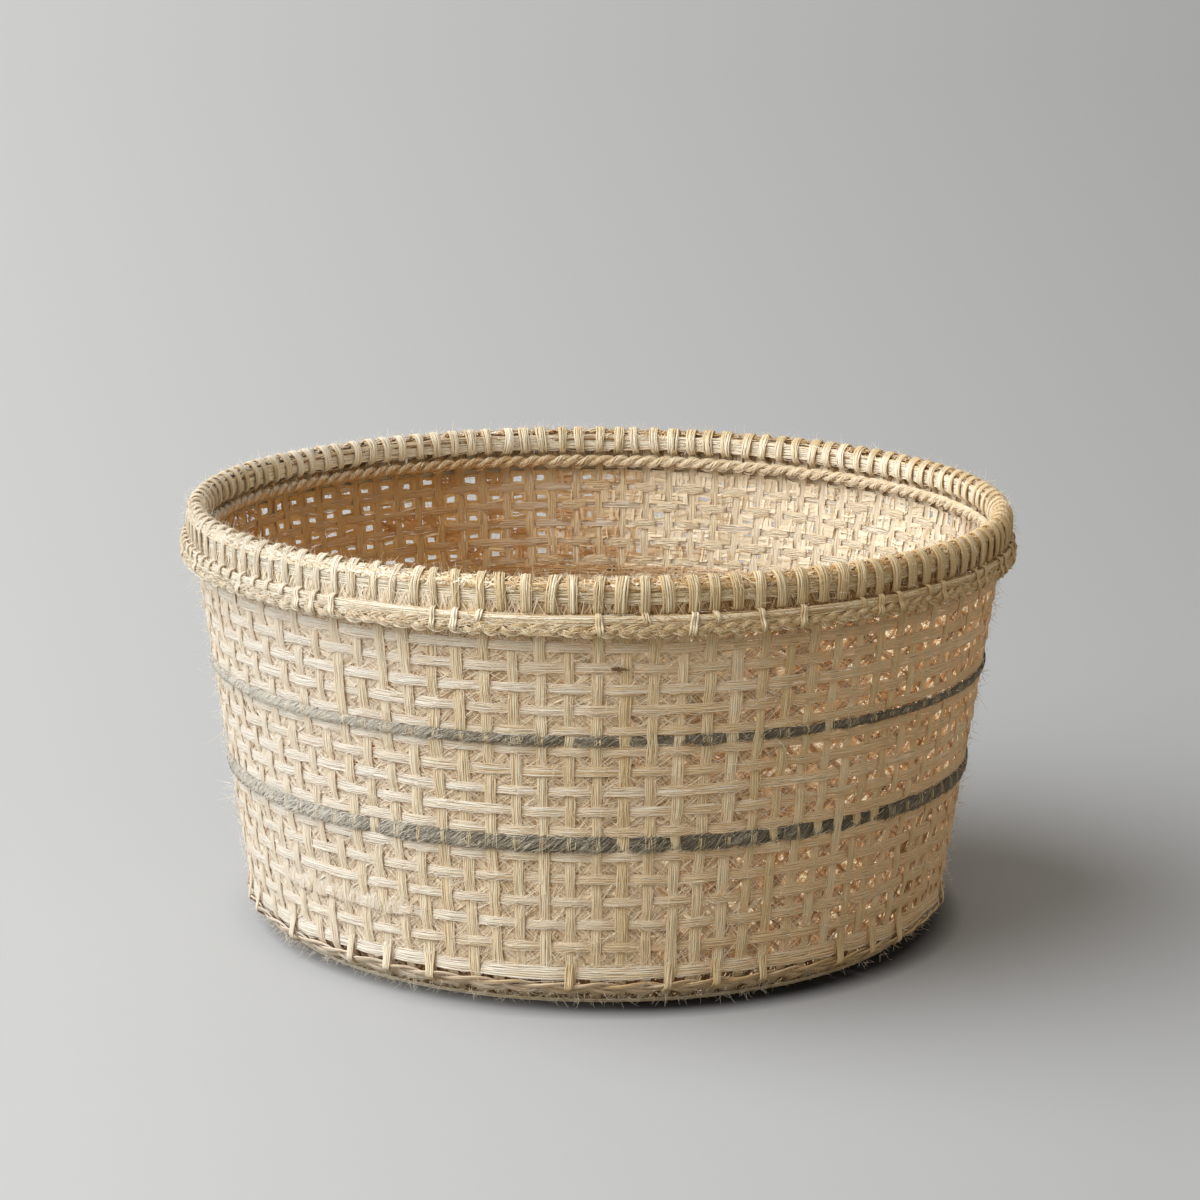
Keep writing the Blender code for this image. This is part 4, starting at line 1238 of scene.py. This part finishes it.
def make_inner_floats():
    """Frayed floats that bulge from the back wall inside, where a row passes inside a stake."""
    source = np.random.default_rng(64)
    strands = Strands()
    share = np.linspace(-1, 1, 9)
    degrees = np.arange(STAKE_COUNT) * 360 / STAKE_COUNT
    chance = 0.9 * ease(degrees / 15) * ease((108 - degrees) / 25)
    for row in range(3, len(ROWS)):
        drawn = source.uniform(0, 1, STAKE_COUNT) < chance
        station = np.flatnonzero(drawn & (SIDES[row] < 0))
        if ROWS[row] in COVERING or not len(station):
            continue
        count = len(station)
        reach = source.uniform(4.4, 5.6, (count, 1)) * share + source.normal(0, 0.3, (count, 1))
        angle = station[:, None] * TURN / STAKE_COUNT + reach * MM / RIM_RADIUS
        level = LEVELS[row] + source.normal(0, 0.2, (count, 1)) * MM + 0 * share
        bulge = source.uniform(0.2, 0.5, (count, 1)) * MM * np.sqrt(1.02 - share ** 2)
        path = polar(wall_radius(LEVELS[row]) - WEAVER_SWING - bulge, angle, level)
        height = source.uniform(3.5, 4.4, (count, 1)) * MM * (1 - 0.3 * share ** 2)
        add_bundle(strands, source, path, -outward(angle), height, 0.5 * MM, 6,
                   source.uniform(0.35, 0.7, count), knots=5)
        add_strays(strands, source, path, -outward(angle), height, 0.5 * MM, 4, 0.06 * MM, 0.7, 5)
    strands.build("inner_floats", STAKE_FIBRE)


def add_hairs(strands, source, root, direction, length, thick, steps=5):
    """Curved hairs that taper from a root along a direction, kept above the floor."""
    count = len(root)
    share = np.linspace(0, 1, steps)[None, :, None]
    bend = unit(source.normal(0, 1, (count, 3)))
    direction = unit(direction)
    path = (root[:, None] + direction[:, None] * length[:, None, None] * share
            + bend[:, None] * length[:, None, None] * 0.35 * share ** 2)
    path[..., 2] = np.maximum(path[..., 2], 0.25 * MM)
    hint = unit(np.cross(direction, bend))[:, None]
    across, out = path_frame(path, hint)
    taper = thick[:, None] * (1 - 0.75 * share[..., 0])
    strands.add(path, across, out, taper, taper, source.uniform(0.3, 1.0, count), 3)


def make_hairs():
    source = np.random.default_rng(71)
    strands = Strands()
    count = 6500
    angle = source.uniform(0, TURN, count)
    level = source.uniform(6 * MM, 134 * MM, count)
    side = np.where(source.uniform(0, 1, count) < 0.75, 1, -1)
    root = polar(wall_radius(level) + side * 1.2 * MM, angle, level)
    tangent = outward(angle + math.pi / 2)
    direction = (outward(angle) * (side * source.uniform(0.1, 0.9, count))[:, None]
                 + tangent * source.normal(0, 0.8, count)[:, None]
                 + np.array([0, 0, 1.0]) * source.normal(0, 0.8, count)[:, None])
    length = source.gamma(2.0, 0.9, count) * MM + 0.6 * MM
    add_hairs(strands, source, root, direction, np.minimum(length, 7 * MM),
              source.uniform(0.055, 0.11, count) * MM)
    count = 70
    angle = math.radians(185) + source.normal(0, 0.5, count)
    level = source.uniform(20 * MM, 150 * MM, count)
    root = polar(wall_radius(level) + 1.2 * MM, angle, level)
    direction = (outward(angle) * source.uniform(0.3, 1.0, count)[:, None]
                 + outward(angle + math.pi / 2) * source.normal(0, 0.7, count)[:, None]
                 + np.array([0, 0, 1.0]) * source.normal(-0.2, 0.7, count)[:, None])
    add_hairs(strands, source, root, direction, source.uniform(5, 11, count) * MM,
              source.uniform(0.07, 0.12, count) * MM, 8)
    strands.build("wall_hairs", HAIR_FIBRE)

    strands = Strands()
    count = 1500
    angle = source.uniform(0, TURN, count)
    root = polar(source.uniform(HOOP_INNER, HOOP_OUTER, count), angle, TOP_LEVEL - 1.2 * MM)
    direction = (outward(angle) * source.normal(0, 0.6, count)[:, None]
                 + outward(angle + math.pi / 2) * source.normal(0, 0.8, count)[:, None]
                 + np.array([0, 0, 1.0]) * source.uniform(0.3, 1.2, count)[:, None])
    add_hairs(strands, source, root, direction, source.uniform(1.2, 4.0, count) * MM,
              source.uniform(0.06, 0.11, count) * MM)
    count = 1400
    angle = source.uniform(0, TURN, count)
    level = source.uniform(BRAID_LOW - 0.5 * MM, HOOP_HIGH, count)
    root = polar(np.where(level < CORD_LOW, BRAID_OUTER, CORD_OUTER) - 0.3 * MM, angle, level)
    direction = (outward(angle) * source.uniform(0.2, 1.0, count)[:, None]
                 + outward(angle + math.pi / 2) * source.normal(0, 0.9, count)[:, None]
                 + np.array([0, 0, 1.0]) * source.normal(-0.2, 0.6, count)[:, None])
    add_hairs(strands, source, root, direction, source.uniform(0.8, 3.0, count) * MM,
              source.uniform(0.04, 0.08, count) * MM)
    strands.build("rim_hairs", HAIR_FIBRE)

    strands = Strands()
    angle = source.uniform(0, TURN, 2200)
    angle = angle[(np.cos(angle) < 0.5) | (source.uniform(0, 1, 2200) < 0.3)]
    count = len(angle)
    level = source.uniform(2.0 * MM, 7 * MM, count)
    radius = RING_RADIUS + (FOOT_RADIUS - RING_RADIUS) * (level / FOOT_BEND) ** 0.8 + 2.2 * MM
    root = polar(radius, angle, level)
    direction = (outward(angle) * source.uniform(0.2, 1.0, count)[:, None]
                 + outward(angle + math.pi / 2) * source.normal(0, 0.9, count)[:, None]
                 + np.array([0, 0, -1.0]) * source.uniform(-0.2, 0.9, count)[:, None])
    add_hairs(strands, source, root, direction, source.uniform(1.0, 4.2, count) * MM,
              source.uniform(0.07, 0.13, count) * MM)
    strands.build("foot_hairs", HAIR_FIBRE)


# Stage

FLOOR_REACH = 16.0
CAMERA_BACK = 1.3
BOUNCE = (0.22, 0.19, 0.14, 1)
# Table greys, lighter on the left and fading far away: painted light falloff.
LEFT_GREY = 0.389
RIGHT_GREY = 0.286
FAR_LOSS_LEFT = 0.09
FAR_LOSS_RIGHT = 0.24


def stage_material():
    """A neutral grey table, lighter on the left and darker far away, as painted light falloff,
    with a painted shadow under the basket's foot, strongest on the front and right.
    """
    material = bpy.data.materials.new("studio_table")
    material.use_nodes = True
    tree = material.node_tree
    shader = tree.nodes["Principled BSDF"]
    shader.inputs["Roughness"].default_value = 0.9
    shader.inputs["Specular IOR Level"].default_value = 0.05
    place = tree.nodes.new("ShaderNodeNewGeometry")
    parts = tree.nodes.new("ShaderNodeSeparateXYZ")
    tree.links.new(place.outputs["Position"], parts.inputs[0])
    away = math_node(tree, "MAXIMUM", math_node(tree, "ADD", parts.outputs["Y"], CAMERA_BACK), 0.5)
    sideways = math_node(tree, "DIVIDE", parts.outputs["X"], away)
    near_grey = ranged(tree, sideways, -0.165, 0.165, LEFT_GREY, RIGHT_GREY)
    far_loss = ranged(tree, sideways, -0.165, 0.165, FAR_LOSS_LEFT, FAR_LOSS_RIGHT)
    farness = ranged(tree, math_node(tree, "DIVIDE", 1.0, away), 0.93, 0.18, 0.0, 1.0)
    kept = math_node(tree, "SUBTRACT", 1.0, math_node(tree, "MULTIPLY", far_loss, farness))
    table = math_node(tree, "MULTIPLY", near_grey, kept)
    across = math_node(tree, "ADD", math_node(tree, "POWER", parts.outputs["X"], 2.0),
                       math_node(tree, "POWER", parts.outputs["Y"], 2.0))
    # Painted shadow under the foot's overhang, faint on the left and full from the front round to the right.
    shade = ranged(tree, math_node(tree, "SQRT", across, 0.0), RING_RADIUS + 6 * MM, FOOT_RADIUS + 9 * MM, 0.9, 0.0)
    shade = math_node(tree, "MULTIPLY", shade, ranged(tree, parts.outputs["X"], -80 * MM, 20 * MM, 0.05, 1.0))
    table = math_node(tree, "MULTIPLY", table, math_node(tree, "SUBTRACT", 1.0, shade))
    rays = tree.nodes.new("ShaderNodeLightPath")
    seen = tree.nodes.new("ShaderNodeMix")
    seen.data_type = "RGBA"
    tree.links.new(rays.outputs["Is Camera Ray"], seen.inputs["Factor"])
    seen.inputs["A"].default_value = BOUNCE
    tree.links.new(table, seen.inputs["B"])
    tree.links.new(seen.outputs["Result"], shader.inputs["Base Color"])
    return material


def make_stage():
    mesh = bpy.data.meshes.new("table")
    corners = [(-1, -1), (1, -1), (1, 1), (-1, 1)]
    mesh.from_pydata([(x * FLOOR_REACH, y * FLOOR_REACH, 0) for x, y in corners], [], [(0, 1, 2, 3)])
    mesh.materials.append(stage_material())
    table = bpy.data.objects.new("table", mesh)
    bpy.context.scene.collection.objects.link(table)


SKY_STRENGTH = 0.57
HORIZON_GREY = 0.45


def make_lights():
    """A broad key from the left and a weaker one from the front left, under an even warm sky."""
    for name, azimuth, elevation, strength, spread in LAMPS:
        data = bpy.data.lights.new(name, "SUN")
        data.energy = strength
        data.angle = math.radians(spread)
        data.color = (0.965, 1.0, 1.03)
        lamp = bpy.data.objects.new(name, data)
        lamp.rotation_euler = (-lamp_direction(azimuth, elevation)).to_track_quat("-Z", "Y").to_euler()
        bpy.context.scene.collection.objects.link(lamp)
    world = bpy.data.worlds.new("studio")
    world.use_nodes = True
    tree = world.node_tree
    background = tree.nodes["Background"]
    background.inputs["Color"].default_value = (1.0, 0.94, 0.84, 1)
    rays = tree.nodes.new("ShaderNodeLightPath")
    strength = ranged(tree, rays.outputs["Is Camera Ray"], 0.0, 1.0, SKY_STRENGTH, HORIZON_GREY)
    tree.links.new(strength, background.inputs["Strength"])
    bpy.context.scene.world = world


CAMERA_PLACE = (0.7 * MM, -1.3018, 0.398)
CAMERA_PITCH = 12.27
CAMERA_ROLL = 0.35
SENSOR = 36.0
FOCAL_PIXELS = 3647.0
IMAGE_PIXELS = 1200.0


def make_camera():
    data = bpy.data.cameras.new("camera")
    data.sensor_width = SENSOR
    data.lens = SENSOR * FOCAL_PIXELS / IMAGE_PIXELS
    data.clip_end = 50
    camera = bpy.data.objects.new("camera", data)
    camera.location = CAMERA_PLACE
    turn = Euler((math.radians(90 - CAMERA_PITCH), 0, 0)).to_matrix()
    roll = Euler((0, 0, math.radians(CAMERA_ROLL))).to_matrix()
    camera.rotation_euler = (turn @ roll).to_euler()
    bpy.context.scene.collection.objects.link(camera)
    bpy.context.scene.camera = camera


def main():
    bpy.context.scene.view_settings.view_transform = "Standard"
    make_camera()
    make_stage()
    make_lights()
    make_stakes()
    make_weavers()
    make_bands()
    make_foot_border()
    make_foot_tails()
    make_base()
    make_hoops()
    make_lashing()
    make_filler()
    make_cord()
    make_braid()
    make_stitches()
    make_inner_rope()
    make_recess_fibres()
    make_rim_fuzz()
    make_darning()
    make_fleck()
    make_lining()
    make_inner_floats()
    make_hairs()


main()
bpy.context.view_layer.update()
